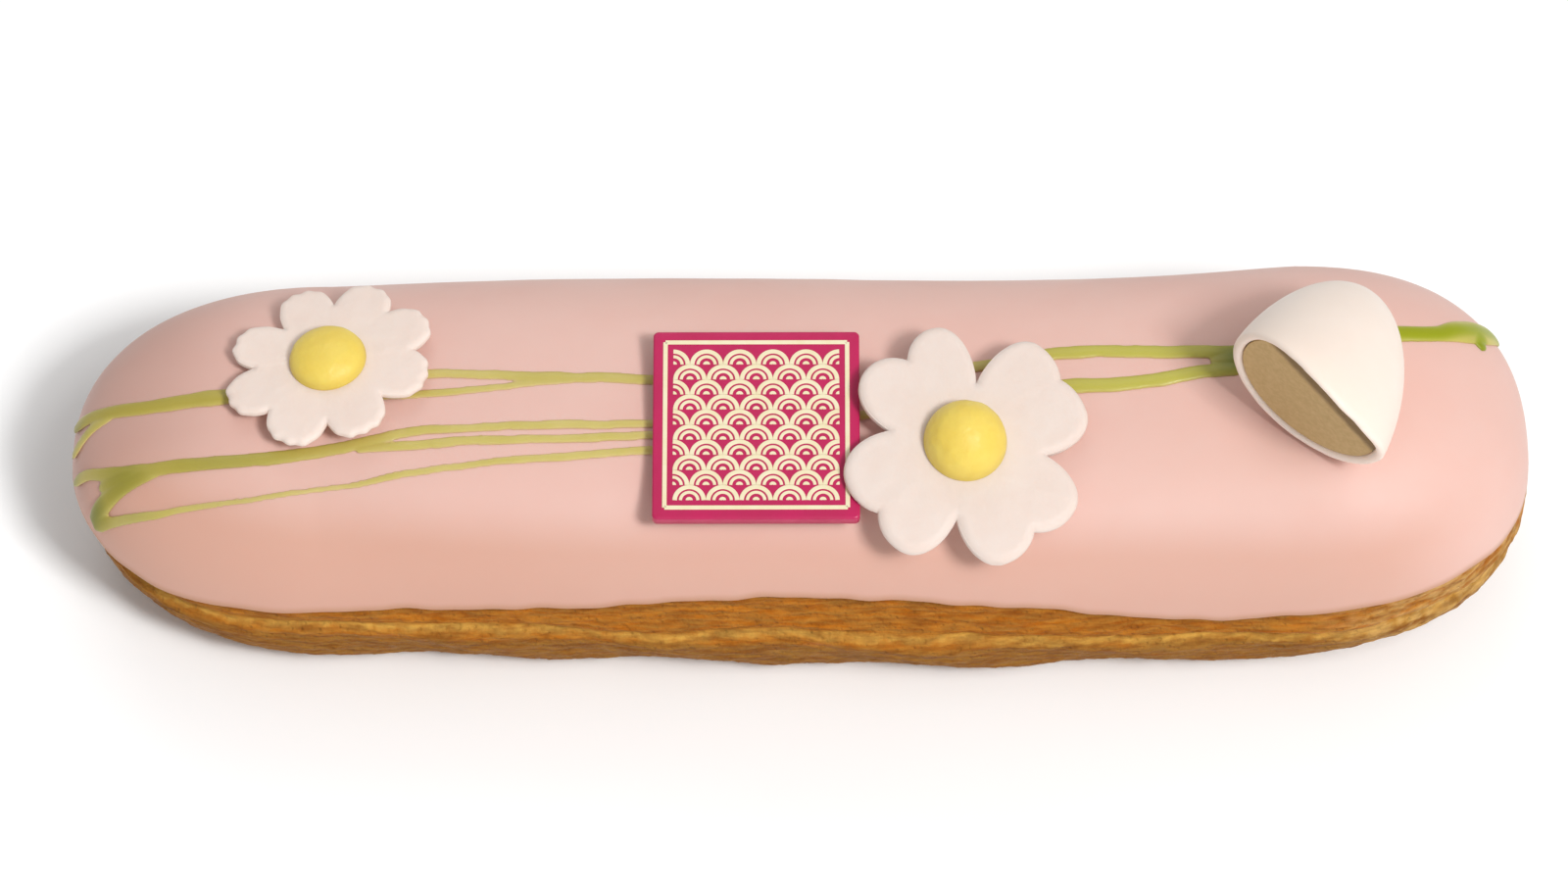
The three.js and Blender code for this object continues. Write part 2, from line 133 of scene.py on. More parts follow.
def placed(points, matrix):  # an array of local points, carried by a 4 x 4 matrix
    turn = np.array(matrix)
    return points @ turn[:3, :3].T + turn[:3, 3]


# colours are picked as they look on the screen, where 255 is white, in a studio this bright
lightLevel = 1.2


def tint(red, green, blue):
    def surface(value):
        value /= 255
        linear = value / 12.92 if value <= 0.04045 else ((value + 0.055) / 1.055) ** 2.4
        return linear / lightLevel
    return (surface(red), surface(green), surface(blue), 1.0)


# shader groups shared by the sugar, chocolate and crust finishes
def newGroup(name, inputs, outputs):
    group = bpy.data.node_groups.new(name, "ShaderNodeTree")
    for socketName, kind, default in inputs:
        socket = group.interface.new_socket(socketName, in_out="INPUT", socket_type=kind)
        socket.default_value = default
    for socketName, kind in outputs:
        group.interface.new_socket(socketName, in_out="OUTPUT", socket_type=kind)
    return group, group.nodes.new("NodeGroupInput"), group.nodes.new("NodeGroupOutput")


def add(tree, kind, **settings):
    node = tree.nodes.new(kind)
    for key, value in settings.items():
        setattr(node, key, value)
    return node


def setInputs(node, **values):  # an underscore in a name stands for a space
    for key, value in values.items():
        node.inputs[key.replace("_", " ")].default_value = value
    return node


def wire(tree, *pairs):
    for source, target in pairs:
        tree.links.new(source, target)


colorA, colorB, colorResult = 6, 7, 2  # sockets of a mix node that take and give colours


def placeOnPiece(group):  # in millimetres
    place = add(group, "ShaderNodeTexCoord")
    scaled = setInputs(add(group, "ShaderNodeVectorMath", operation="SCALE"), Scale=1 / mm)
    wire(group, (place.outputs["Object"], scaled.inputs[0]))
    return scaled.outputs[0]


# slow drift between two colours and two roughnesses
def makeToneDrift():
    group, given, result = newGroup(
        "toneDrift",
        [
            ("Color", "NodeSocketColor", (0.8, 0.8, 0.8, 1)),
            ("Drift Color", "NodeSocketColor", (0.6, 0.6, 0.6, 1)),
            ("Patch Size", "NodeSocketVector", (10, 10, 10)),
            ("Amount", "NodeSocketFloat", 0.5),
            ("Roughness", "NodeSocketFloat", 0.5),
            ("Roughness Change", "NodeSocketFloat", 0.1),
        ],
        [("Color", "NodeSocketColor"), ("Roughness", "NodeSocketFloat")],
    )
    patches = add(group, "ShaderNodeVectorMath", operation="DIVIDE")
    cloud = setInputs(add(group, "ShaderNodeTexNoise"), Scale=1.0, Detail=5.0, Roughness=0.6)
    spread = add(group, "ShaderNodeMapRange", interpolation_type="SMOOTHSTEP")
    setInputs(spread, From_Min=0.32, From_Max=0.68)
    share = add(group, "ShaderNodeMath", operation="MULTIPLY")
    mix = add(group, "ShaderNodeMix", data_type="RGBA")
    change = add(group, "ShaderNodeMath", operation="MULTIPLY_ADD")
    wire(
        group,
        (placeOnPiece(group), patches.inputs[0]),
        (given.outputs["Patch Size"], patches.inputs[1]),
        (patches.outputs[0], cloud.inputs["Vector"]),
        (cloud.outputs["Fac"], spread.inputs["Value"]),
        (spread.outputs["Result"], share.inputs[0]),
        (given.outputs["Amount"], share.inputs[1]),
        (share.outputs[0], mix.inputs["Factor"]),
        (given.outputs["Color"], mix.inputs[colorA]),
        (given.outputs["Drift Color"], mix.inputs[colorB]),
        (spread.outputs["Result"], change.inputs[0]),
        (given.outputs["Roughness Change"], change.inputs[1]),
        (given.outputs["Roughness"], change.inputs[2]),
        (mix.outputs[colorResult], result.inputs["Color"]),
        (change.outputs[0], result.inputs["Roughness"]),
    )
    return group


# fine grain for a bump: soft lumps with small pits
def makeFineGrain():
    group, given, result = newGroup(
        "fineGrain",
        [
            ("Grain Size", "NodeSocketFloat", 0.4),
            ("Pit Size", "NodeSocketFloat", 1.0),
            ("Pit Share", "NodeSocketFloat", 0.3),
        ],
        [("Height", "NodeSocketFloat")],
    )

    def oneOver(size):
        division = add(group, "ShaderNodeMath", operation="DIVIDE")
        division.inputs[0].default_value = 1.0
        wire(group, (size, division.inputs[1]))
        return division.outputs[0]

    place = placeOnPiece(group)
    lumps = setInputs(add(group, "ShaderNodeTexNoise"), Detail=3.0)
    cells = add(group, "ShaderNodeTexVoronoi", feature="SMOOTH_F1")
    pits = add(group, "ShaderNodeMapRange", interpolation_type="SMOOTHSTEP")
    setInputs(pits, From_Min=0.35, From_Max=0.05)
    depth = add(group, "ShaderNodeMath", operation="MULTIPLY")
    height = add(group, "ShaderNodeMath", operation="SUBTRACT")
    wire(
        group,
        (place, lumps.inputs["Vector"]),
        (oneOver(given.outputs["Grain Size"]), lumps.inputs["Scale"]),
        (place, cells.inputs["Vector"]),
        (oneOver(given.outputs["Pit Size"]), cells.inputs["Scale"]),
        (cells.outputs["Distance"], pits.inputs["Value"]),
        (pits.outputs["Result"], depth.inputs[0]),
        (given.outputs["Pit Share"], depth.inputs[1]),
        (lumps.outputs["Fac"], height.inputs[0]),
        (depth.outputs[0], height.inputs[1]),
        (height.outputs[0], result.inputs["Height"]),
    )
    return group


toneDrift = makeToneDrift()
fineGrain = makeFineGrain()
plainLook = {"glow": 0.0, "glowTint": (1.0, 0.6, 0.4), "glowDepth": 1.0, "masks": [], "flecks": []}


def useGroup(tree, group, **values):
    return setInputs(add(tree, "ShaderNodeGroup", node_tree=group), **values)


# a food finish: a colour that drifts, fine relief, and a little light let in under the surface
def foodMaterial(name, look):
    look = {**plainLook, **look}
    material = bpy.data.materials.new(name)
    material.use_nodes = True
    tree = material.node_tree
    shader = tree.nodes["Principled BSDF"]
    setInputs(shader, Specular_IOR_Level=look["specular"], Subsurface_Weight=look["glow"],
              Subsurface_Radius=look["glowTint"], Subsurface_Scale=look["glowDepth"] * mm)
    drift = useGroup(tree, toneDrift, Color=tint(*look["color"]), Drift_Color=tint(*look["driftColor"]),
                     Patch_Size=look["patchSize"], Amount=look["driftAmount"],
                     Roughness=look["roughness"], Roughness_Change=look["roughnessChange"])
    relief = useGroup(tree, fineGrain, Grain_Size=look["grainSize"], Pit_Size=look["pitSize"],
                      Pit_Share=look["pitShare"])
    bump = add(tree, "ShaderNodeBump")
    setInputs(bump, Strength=look["bumpStrength"], Distance=look["bumpDepth"] * mm)
    color = drift.outputs["Color"]
    for maskName, maskColor, amount in look["masks"]:
        color = paintMask(tree, color, maskName, tint(*maskColor), amount)
    for fleckColor, fleckSize, amount in look["flecks"]:
        flecks = useGroup(tree, toneDrift, Drift_Color=tint(*fleckColor), Patch_Size=fleckSize,
                          Amount=amount)
        wire(tree, (color, flecks.inputs["Color"]))
        color = flecks.outputs["Color"]
    wire(
        tree,
        (relief.outputs["Height"], bump.inputs["Height"]),
        (bump.outputs["Normal"], shader.inputs["Normal"]),
        (drift.outputs["Roughness"], shader.inputs["Roughness"]),
        (color, shader.inputs["Base Color"]),
    )
    return material


# another colour laid over by a mask that the mesh carries
def paintMask(tree, color, maskName, maskColor, amount):
    mask = add(tree, "ShaderNodeAttribute", attribute_name=maskName)
    share = add(tree, "ShaderNodeMath", operation="MULTIPLY", use_clamp=True)
    share.inputs[1].default_value = amount
    mix = add(tree, "ShaderNodeMix", data_type="RGBA")
    mix.inputs[colorB].default_value = maskColor
    wire(
        tree,
        (mask.outputs["Fac"], share.inputs[0]),
        (share.outputs[0], mix.inputs["Factor"]),
        (color, mix.inputs[colorA]),
    )
    return mix.outputs[colorResult]


# the finger under all the toppings
finger = {
    "length": 141.3,  # tip to tip over the icing
    "height": 27.5,
    "frontWidth": 18.6,  # from the spine, over the icing
    "backWidth": 18.0,
    "widestLevel": 9.0,
    "leftCap": 25.5,
    "rightCap": 23.0,
    "leftRoundness": (2.2, 2.2),  # of the end in plan, before and behind the spine
    "rightRoundness": (2.31, 2.4),
    "shoulderRoundness": 2.8,
    "baseRoundness": 3.4,
    "tuckedRoundness": 2.0,  # at the right tip
    "baseSink": 0.6,
    "gap": 0.3,
    "icing": 1.3,
    "backSwells": [(52, 12, 1.3), (18, 16, -0.4)],  # at x, over a span, by
    "frontSwells": [(18, 12, 0.5), (-38, 14, -0.3)],
    "crownSwells": [(48, 18, 0.8), (-55, 22, -2.8)],
    "sideSteps": 26,
    "leftSteps": 14,
    "rightSteps": 12,
    "edge": {  # lower edge of the icing
        "level": 14.4, "wave": 0.1, "waves": 9,
        "swells": [(4, 26, 2.5), (36, 10, -1.2), (61, 9, 1.0), (-62, 13, -0.9)],
        "ripples": [(41, 0.08, 0.6), (67, 0.05, 2.1), (23, 0.1, 4.0)],  # waves, height, phase
    },
}
skin = finger["gap"] + finger["icing"]
spineLeft = -finger["length"] / 2 + finger["leftCap"]
spineRight = finger["length"] / 2 - finger["rightCap"]


def frontReach(x):
    return finger["frontWidth"] - skin + swell(finger["frontSwells"], x)


def backReach(x):
    return finger["backWidth"] - skin + swell(finger["backSwells"], x)


def crown(x):
    return finger["height"] - skin + swell(finger["crownSwells"], x)


# the spine point of each step round the finger, the way from it to the outline, and the angle travelled
def loopFrames(grow, density):
    sides = np.linspace(0, 1, finger["sideSteps"] * density, endpoint=False)
    front = spineLeft + (spineRight - spineLeft) * sides
    back = spineRight + (spineLeft - spineRight) * sides
    spine, toX, toY = [front], [front * 0], [-frontReach(front) - grow]

    def turnEnd(x, cap, roundness, start, steps):
        angle = start + math.pi * np.linspace(0, 1, steps * density, endpoint=False)
        before = np.sin(angle) < 0
        side = np.where(before, frontReach(x), backReach(x))
        exponent = 2 / np.where(before, *roundness)
        spine.append(angle * 0 + x)
        toX.append((cap - skin + grow) * power(np.cos(angle), exponent))
        toY.append((side + grow) * power(np.sin(angle), exponent))

    turnEnd(spineRight, finger["rightCap"], finger["rightRoundness"], -math.pi / 2, finger["rightSteps"])
    spine.append(back)
    toX.append(back * 0)
    toY.append(backReach(back) + grow)
    turnEnd(spineLeft, finger["leftCap"], finger["leftRoundness"], math.pi / 2, finger["leftSteps"])
    spine = np.concatenate(spine)
    around = np.linspace(0, 2 * math.pi, len(spine), endpoint=False)
    return spine, np.concatenate(toX), np.concatenate(toY), around


def sectionPoints(loop, angle, grow):
    spine, toX, toY = loop[:3]
    reach = power(np.cos(angle), 2 / finger["shoulderRoundness"])
    rise = crown(spine) + grow - finger["widestLevel"]
    level = finger["widestLevel"] + rise * power(np.sin(angle), 2 / finger["shoulderRoundness"])
    return np.stack([spine + toX * reach, toY * reach, level + 0 * reach], axis=-1)


def edgeLevel(loop):
    spine, toX, toY, around = loop
    edge = finger["edge"]
    level = edge["level"] + swell(edge["swells"], spine + toX)
    level = level + edge["wave"] * np.sin(edge["waves"] * around)
    return level + sum(by * np.sin(waves * around + phase) for waves, by, phase in edge["ripples"])


# upper face of the icing over a plan point
def icingTop(x, y):
    spine = np.clip(x, spineLeft, spineRight)
    cap = np.where(x < spine, finger["leftCap"], finger["rightCap"])
    side = np.where(y < 0, frontReach(spine), backReach(spine)) + skin
    left, right = (np.where(y < 0, *finger[end]) for end in ("leftRoundness", "rightRoundness"))
    roundness = np.where(x < spine, left, right)
    plan = (np.abs(x - spine) / cap) ** roundness + (np.abs(y) / side) ** roundness
    share = np.minimum(1, plan ** (1 / roundness))
    rise = crown(spine) + skin - finger["widestLevel"]
    shoulder = finger["shoulderRoundness"]
    return finger["widestLevel"] + rise * (1 - share ** shoulder) ** (1 / shoulder)


def icingNormal(x, y, step=0.2):
    slopeX = (icingTop(x + step, y) - icingTop(x - step, y)) / (2 * step)
    slopeY = (icingTop(x, y + step) - icingTop(x, y - step)) / (2 * step)
    normal = np.stack([-slopeX, -slopeY, slopeX * 0 + 1], axis=-1)
    return normal / np.linalg.norm(normal, axis=-1, keepdims=True)


# a frame that stands on the icing, with +Z along its normal
def seatMatrix(spot):
    x, y = np.array(spot["x"]), np.array(spot["y"])
    normal = Vector(icingNormal(x, y))
    along = Vector((normal.z, 0, -normal.x)).normalized()
    across = normal.cross(along)
    turn = Matrix((along, across, normal)).transposed()
    turn = turn @ Matrix.Rotation(math.radians(spot.get("lean", 0)), 3, "Y")
    turn = turn @ Matrix.Rotation(math.radians(spot.get("tip", 0)), 3, "X")
    origin = Vector((spot["x"], spot["y"], float(icingTop(x, y)))) + normal * spot["lift"]
    return Matrix.Translation(origin) @ turn.to_4x4()


# baked crust: bulge, lumps and split as in the solid, with thin baked layers over them
crust = {
    "density": 10,
    "rows": 48,  # from the foot to the widest level
    "upperRows": 44,  # from there to just under the icing
    "coveredRows": 7,  # from there to the crown
    "rowSpacing": 1.4,
    "baseShares": (0, 0.4, 0.8),  # rows of the flat base, as shares of its width
    "upperTurn": 24,  # degrees
    "reliefTop": 14.0,
    "reliefFade": 4.0,
    "bulge": (9.3, 3.5, 0.85),  # level, span, height
    "lumps": (0.25, 13, 0.5),  # height, waves round the finger, slant
    "split": {
        "level": 10.4, "depth": 0.7, "width": 0.7, "wander": 0.35, "waves": 7,
        "fall": (24, 40, 1.1),  # lower at the right: from x to x, by
    },
    "swells": [(60, 8, -1.0), (72, 6, 0.6), (8, 18, 0.5), (-50, 18, -0.4), (-68, 12, -1.0)],
    "layers": {"height": 0.2, "size": 1.0, "octaves": 4, "stretch": (0.28, 0.28, 1.0)},  # along the finger
    "pimples": {"height": 0.1, "size": 0.6, "octaves": 2, "stretch": (0.7, 0.7, 1.0)},
    "fineTop": (20, 17),  # levels between which the fine relief fades out
    "fineFoot": (0, 0.6),  # and fades in
    "paint": {  # levels of the colours, and how far the layers fray their borders
        "lower": {"levels": (9.6, 8.6), "fray": 0.5},
        "foot": {"levels": (4.6, 3.0), "fray": 0.8},
        "crease": {"below": 0.3, "width": 0.42, "fray": 0.25, "even": 0.8, "spots": 0.6},
        # under: painted shade, a dark band on the crust just under the icing's overhanging edge
        "under": {"depths": (2.2, 0.5), "fray": 0.8, "even": 0.85, "spots": 0.5},
        "smear": {"along": (46, 60), "levels": (4, 7), "fray": 0.5, "spots": (-0.5, 0.3)},
    },
    "look": {
        "color": (194, 110, 3), "driftColor": (160, 82, 2), "driftAmount": 0.8, "patchSize": (9, 9, 1.1),
        "flecks": [((112, 66, 16), (3.0, 3.0, 0.55), 0.6), ((236, 184, 84), (2.4, 2.4, 0.4), 0.22)],
        "roughness": 0.6, "roughnessChange": 0.14, "specular": 0.15,
        "grainSize": 0.5, "pitSize": 0.7, "pitShare": 0.5, "bumpStrength": 1.0, "bumpDepth": 0.2,
        "glow": 0.1, "glowDepth": 0.8,
        "masks": [
            ("lower", (136, 84, 24), 0.75), ("foot", (148, 84, 14), 0.7), ("crease", (230, 178, 82), 0.85),
            # the under mask is painted shade below the icing's edge
            ("under", (120, 78, 28), 0.9), ("smear", (224, 180, 112), 0.75),
        ],
    },
}


def makeCrust():
    loop = loopFrames(0, crust["density"])
    spine, toX, toY, around = loop
    widest = finger["widestLevel"]
    spacing = crust["rowSpacing"]
    level = widest * np.linspace(0, 1, crust["rows"])[:, None] ** spacing
    drop = (widest - level) / (widest + finger["baseSink"])
    tuck = np.clip(toX / finger["rightCap"], 0, 1)
    roundness = finger["baseRoundness"] + (finger["tuckedRoundness"] - finger["baseRoundness"]) * tuck
    reach = (1 - drop ** roundness) ** (1 / roundness)
    foot = np.stack([spine + toX * reach, toY * reach, level + 0 * reach], axis=-1)
    turns = crust["upperTurn"] * np.linspace(0, 1, crust["upperRows"] + 1)[1:] ** spacing
    turns = np.concatenate([turns, np.linspace(crust["upperTurn"], 90, crust["coveredRows"] + 1)[1:]])
    side = sectionPoints(loop, np.radians(turns)[:, None], 0)
    points = np.concatenate([foot, side])
    x, z = points[..., 0], points[..., 2]

    split = crust["split"]
    fallFrom, fallTo, fallBy = split["fall"]
    splitLevel = split["level"] - fallBy * ease(fallFrom, fallTo, x)
    toSplit = z - splitLevel - split["wander"] * np.sin(split["waves"] * around)
    fade = np.clip((crust["reliefTop"] - z) / crust["reliefFade"], 0, 1)
    bulgeLevel, bulgeSpan, bulgeBy = crust["bulge"]
    lumpBy, lumpWaves, lumpSlant = crust["lumps"]
    main = bulgeBy * smooth(z - bulgeLevel, bulgeSpan) + lumpBy * np.sin(lumpWaves * around + lumpSlant * z)
    main += swell(crust["swells"], x) - split["depth"] * smooth(toSplit, split["width"])
    layers = grain(points, crust["layers"])
    pimples = grain(points, crust["pimples"])
    fine = crust["layers"]["height"] * layers + crust["pimples"]["height"] * pimples
    outward = fade * main + ease(*crust["fineTop"], z) * ease(*crust["fineFoot"], z) * fine
    length = np.hypot(toX, toY)
    points[..., 0] += outward * toX / length
    points[..., 1] += outward * toY / length
    points[-1] = np.stack([spine, spine * 0, crown(spine)], axis=-1)

    paint = crust["paint"]
    frayed = {key: band["fray"] * layers for key, band in paint.items()}
    crease, under, smear = paint["crease"], paint["under"], paint["smear"]
    spots = ease(*smear["spots"], pimples + frayed["smear"])
    masks = {
        "lower": ease(*paint["lower"]["levels"], z - frayed["lower"]),
        "foot": ease(*paint["foot"]["levels"], z - frayed["foot"]),
        "crease": smooth(toSplit + crease["below"] + frayed["crease"], crease["width"]),
        # painted shade just under the icing's edge
        "under": ease(*under["depths"], edgeLevel(loop) - z + frayed["under"]),
        "smear": ease(*smear["along"], x) * spots * ease(*smear["levels"], z),
    }
    for key in ("crease", "under"):
        masks[key] = masks[key] * (paint[key]["even"] + paint[key]["spots"] * pimples)
    middle = np.stack([spine, spine * 0, spine * 0], axis=-1)
    base = middle + (points[0] - middle) * np.array(crust["baseShares"])[:, None, None]
    plain = np.zeros(base.shape[:2])
    masks = {key: np.concatenate([plain, np.clip(value, 0, 1)]) for key, value in masks.items()}
    return ringsMesh("crust", np.concatenate([base, points]), **masks)


addPiece("bakedCrust", makeCrust(), foodMaterial("chouxCrust", crust["look"]), "crust", "choux")


# fondant skin: thins towards a rounded, wavy lower edge, where the crust shows through
fondant = {
    "density": 8,
    "rows": 80,
    "rowSpacing": 1.3,
    "innerRows": 16,
    "lipRows": 9,
    "taper": (0.4, 0.36),  # share of the thickness lost at the edge, over this share of the way up
    "sway": {"height": 0.07, "size": 9.0, "octaves": 2, "sink": 0.6},  # unevenness of the poured surface
    "swayFade": (0, 0.1),  # shares of the way up
    "paint": {
        # side: the front face painted darker and more orange, partly for the thinner icing over the crust
        # and partly as painted shade on the face turned from the light
        "side": {
            "levels": (25.4, 21.5), "across": (0, -9), "along": (66, 54),
            "paler": (-40, 0), "by": 0.25,  # weaker from x to x, by this share
        },
        # end: the left end painted darker, as painted shade where it turns from the light
        "end": {"along": (-48, -64), "across": (-10, -3)},
        "thin": (1.1, -0.2),  # above the lower edge
    },
    "look": {
        "color": (240, 199, 187), "driftColor": (238, 191, 178), "driftAmount": 0.5,
        "patchSize": (16, 12, 10),
        "roughness": 0.46, "roughnessChange": 0.08, "specular": 0.25,
        "grainSize": 1.6, "pitSize": 3.0, "pitShare": 0.0, "bumpStrength": 0.12, "bumpDepth": 0.1,
        "glow": 0.2, "glowDepth": 1.2, "glowTint": (1.0, 0.6, 0.5),
        "masks": [
            # side is partly the thinner icing and partly painted shade; end is painted shade on the left
            # end
            ("side", (223, 170, 148), 0.8), ("end", (204, 160, 146), 0.65), ("thin", (198, 144, 108), 0.75),
        ],
    },
}


def icingSurface(share, grow, density):
    loop = loopFrames(grow, density)
    widest = finger["widestLevel"]
    rise = (edgeLevel(loop) - widest) / (crown(loop[0]) + grow - widest)
    start = np.arcsin(rise ** (finger["shoulderRoundness"] / 2))
    return sectionPoints(loop, start + (math.pi / 2 - start) * share, grow)


def makeFondant():
    taperBy, taperShare = fondant["taper"]
    density = fondant["density"]

    def thickness(share):
        return finger["icing"] * (1 - taperBy * max(0, 1 - share / taperShare) ** 2)

    inner = np.linspace(1, 0, fondant["innerRows"])
    inner = np.array([icingSurface(share, finger["gap"], density) for share in inner])
    rim = thickness(0)
    lip = []
    for turn in np.linspace(0, math.pi, fondant["lipRows"] + 2)[1:-1]:
        row = icingSurface(0, finger["gap"] + rim * (1 - math.cos(turn)) / 2, density)
        row[:, 2] -= rim / 2 * math.sin(turn)
        lip.append(row)
    shares = np.linspace(0, 1, fondant["rows"]) ** fondant["rowSpacing"]
    outer = np.array([icingSurface(share, finger["gap"] + thickness(share), density) for share in shares])
    sway = fondant["sway"]
    rise = sway["height"] * (grain(outer[:-1], sway) - sway["sink"])
    outer[:-1, :, 2] += rise * ease(*fondant["swayFade"], shares[:-1])[:, None]
    rings = np.concatenate([inner, np.array(lip), outer])
    x, y, z = np.moveaxis(rings, -1, 0)
    side, end = fondant["paint"]["side"], fondant["paint"]["end"]
    # the front face: partly thinner icing, partly painted shade
    sideMask = ease(*side["levels"], z) * ease(*side["across"], y) * ease(*side["along"], x)
    masks = {
        "side": sideMask * (1 - side["by"] * ease(*side["paler"], x)),
        # the left end painted darker: painted shade
        "end": ease(*end["along"], x) * ease(*end["across"], y),
        "thin": ease(*fondant["paint"]["thin"], z - edgeLevel(loopFrames(0, density))),
    }
    return ringsMesh("fondant", rings, **masks)


addPiece("fondantSkin", makeFondant(), foodMaterial("pinkFondant", fondant["look"]), "fondant", "icing")


# piped stems: beads along routes of x, y and width, fused into each other and half sunk in the fondant
stems = {
    "routes": {
        "upper": [
            (-69.6, 1.2, 1.3), (-67, 0.7, 1.5), (-62.3, -0.3, 1.6), (-55, -0.2, 1.8), (-45, 0.8, 1.2),
            (-35.2, 1.5, 1.1), (-30, 1.2, 1.1), (-25.3, 0.7, 1.2), (-20, 0.5, 1.2), (-14.8, 0.2, 1.2),
            (4, -0.6, 1), (17.2, 1.6, 1.2), (24.6, 3.0, 1.5), (30, 3.1, 1.5), (35.3, 2.9, 1.5),
            (38.5, 2.8, 1.5), (44, 2.9, 1.6), (56, 5.1, 2.0), (58.9, 5.5, 1.9), (60.8, 6.0, 2.1),
            (62.2, 6.7, 2.6), (63.9, 7.5, 2.9), (65, 8.1, 2.9), (66.1, 8.8, 2.4), (67.1, 9.2, 1.8),
        ],
        "drip": [(64.6, 7.2, 1.6), (64.9, 6.2, 1.8), (65, 5.5, 1.3)],
        # thin spread between two strands
        "film": [(38.6, 1.8, 0.8), (40, 1.9, 1.6), (42, 2.0, 2.4), (44, 2.1, 2.6)],
        "wedge": [(-61.5, -7, 1.0), (-64.2, -6.9, 1.6), (-66.6, -6.9, 1.2)],
        "upperTail": [(-65, 0, 1.1), (-67.8, -0.7, 1.2), (-69.6, -1.9, 1.2)],
        "upperStrand": [
            (-44, -0.6, 0.9), (-35.1, -0.7, 1.0), (-30.7, -0.5, 0.9), (-26, -0.1, 0.8), (-21, 0.2, 0.7),
        ],
        "lower": [
            (-69.4, -4.4, 1.2), (-67.9, -4.9, 1.3), (-65.6, -6, 1.4), (-61.7, -6.8, 1.4),
            (-58.8, -7, 1.5), (-54.1, -7.1, 1.4), (-48.5, -6.8, 1.4), (-43, -6, 1.3), (-37, -4.8, 1.1),
            (-32.7, -4.7, 1.0), (-25.2, -4.6, 1.0), (-15.3, -4.7, 1.0), (5.5, -3.9, 1.1), (14, -2.2, 1.1),
            (24.5, -0.8, 1.6), (28.1, -0.7, 1.7), (32.4, -0.4, 1.6), (35.3, 0.1, 1.6), (38, 0.6, 1.6),
            (42, 1.1, 1.8),
        ],
        "lowerStrand": [
            (-42, -6.3, 0.9), (-37.5, -6.2, 1.0), (-32.7, -6, 1.1), (-25.2, -6.1, 1.0), (-15.3, -5.9, 1.0),
            (-5, -5.2, 0.9),
        ],
        "front": [
            (-60, -7, 1.1), (-62.8, -7.4, 1.6), (-65.4, -8.1, 1.9), (-66.8, -8.9, 2.2), (-65.2, -9.9, 1.3),
            (-61.6, -10.7, 0.95), (-58.8, -10.9, 0.8), (-53.1, -10.8, 0.65), (-47.6, -10.3, 0.65),
            (-42, -9.7, 0.7), (-38.3, -9.1, 0.8), (-32.6, -8.5, 0.8), (-25.1, -8, 0.9), (-15.3, -7.5, 0.95),
            (-6, -6.8, 0.85),
        ],
    },
    "height": 0.18,  # of the width
    "step": 0.3,
    "curveSteps": 24,  # between two points of a route
    "sides": 14,
    "roundEnd": 0.7,  # of the width
    "wobble": {  # of width and course
        "share": 0.1, "size": 3.0, "octaves": 2,
        "apart": 40, "sideways": 17,  # shifts that keep the strands from wobbling alike
    },
    "voxel": 0.13,
    "soften": (0.5, 3),  # factor and rounds
    "bodyWidths": (1.0, 1.6),  # a strand takes the body's colour as it gets this wide
    "bodyReach": (1.2, 0.4),  # and gives none or all of it at this distance
    "fresh": (12, 30),  # greener from here to here along the finger
    "lime": (42, 52),
    "leastGreen": 0.2,  # share of it on a thin strand
    "rim": {"heights": (0.16, 0.02), "bodyLoss": 0.6},  # paler foot of a strand
    "shadeAndDarkGreen": [  # darker near these spots, over a span, by: painted shade beside the egg and at the strands' left ends, where they turn down over the icing's end, and a darker olive green at the other spots
        (41.2, 1.9, 2.0, 1.2), (-69.8, 0, 1.2, 1), (-69.8, -4.3, 1, 1), (-67, -8.8, 1.3, 0.9),
        (-64, -7, 2.6, 0.5), (-54, -7, 5, 0.3), (-63, -10, 2.5, 0.35), (65, 5.7, 0.9, 0.5),
    ],
    "look": {
        "color": (216, 198, 118), "driftColor": (202, 186, 90), "driftAmount": 0.6, "patchSize": (5, 3, 3),
        "roughness": 0.34, "roughnessChange": 0.1, "specular": 0.4,
        "grainSize": 0.7, "pitSize": 1.0, "pitShare": 0.1, "bumpStrength": 0.2, "bumpDepth": 0.06,
        "glow": 0.2, "glowDepth": 0.6, "glowTint": (0.8, 1.0, 0.3),
        "masks": [
            ("body", (180, 164, 62), 0.85), ("fresh", (200, 196, 86), 0.7), ("lime", (158, 166, 8), 1.0),
            # the last mask paints shade beside the egg and at the left ends, and darker olive green at the
            # other spots
            ("rim", (232, 196, 160), 0.6), ("shadeAndDarkGreen", (104, 116, 10), 0.75),
        ],
    },
}


def routeThrough(points, step):  # an even run of points along a smooth curve through the given ones
    p = np.array(points, float)
    p = np.vstack([2 * p[0] - p[1], p, 2 * p[-1] - p[-2]])
    fine = []
    for a, b, c, d in zip(p, p[1:], p[2:], p[3:]):
        t1 = np.linalg.norm(b - a) ** 0.5  # knots by the root of the distance, so tight turns don't loop
        t2 = t1 + np.linalg.norm(c - b) ** 0.5
        t3 = t2 + np.linalg.norm(d - c) ** 0.5
        t = np.linspace(t1, t2, stems["curveSteps"], endpoint=False)[:, None]
        ab = ((t1 - t) * a + t * b) / t1
        bc = ((t2 - t) * b + (t - t1) * c) / (t2 - t1)
        cd = ((t3 - t) * c + (t - t2) * d) / (t3 - t2)
        abc = ((t2 - t) * ab + t * bc) / t2
        bcd = ((t3 - t) * bc + (t - t1) * cd) / (t3 - t1)
        fine.append(((t2 - t) * abc + (t - t1) * bcd) / (t2 - t1))
    fine = np.vstack(fine + [p[-2:-1]])
    travelled = np.r_[0, np.cumsum(np.linalg.norm(np.diff(fine, axis=0), axis=1))]
    even = np.linspace(0, travelled[-1], max(4, int(travelled[-1] / step)))
    return np.stack([np.interp(even, travelled, fine[:, k]) for k in range(3)], axis=-1)


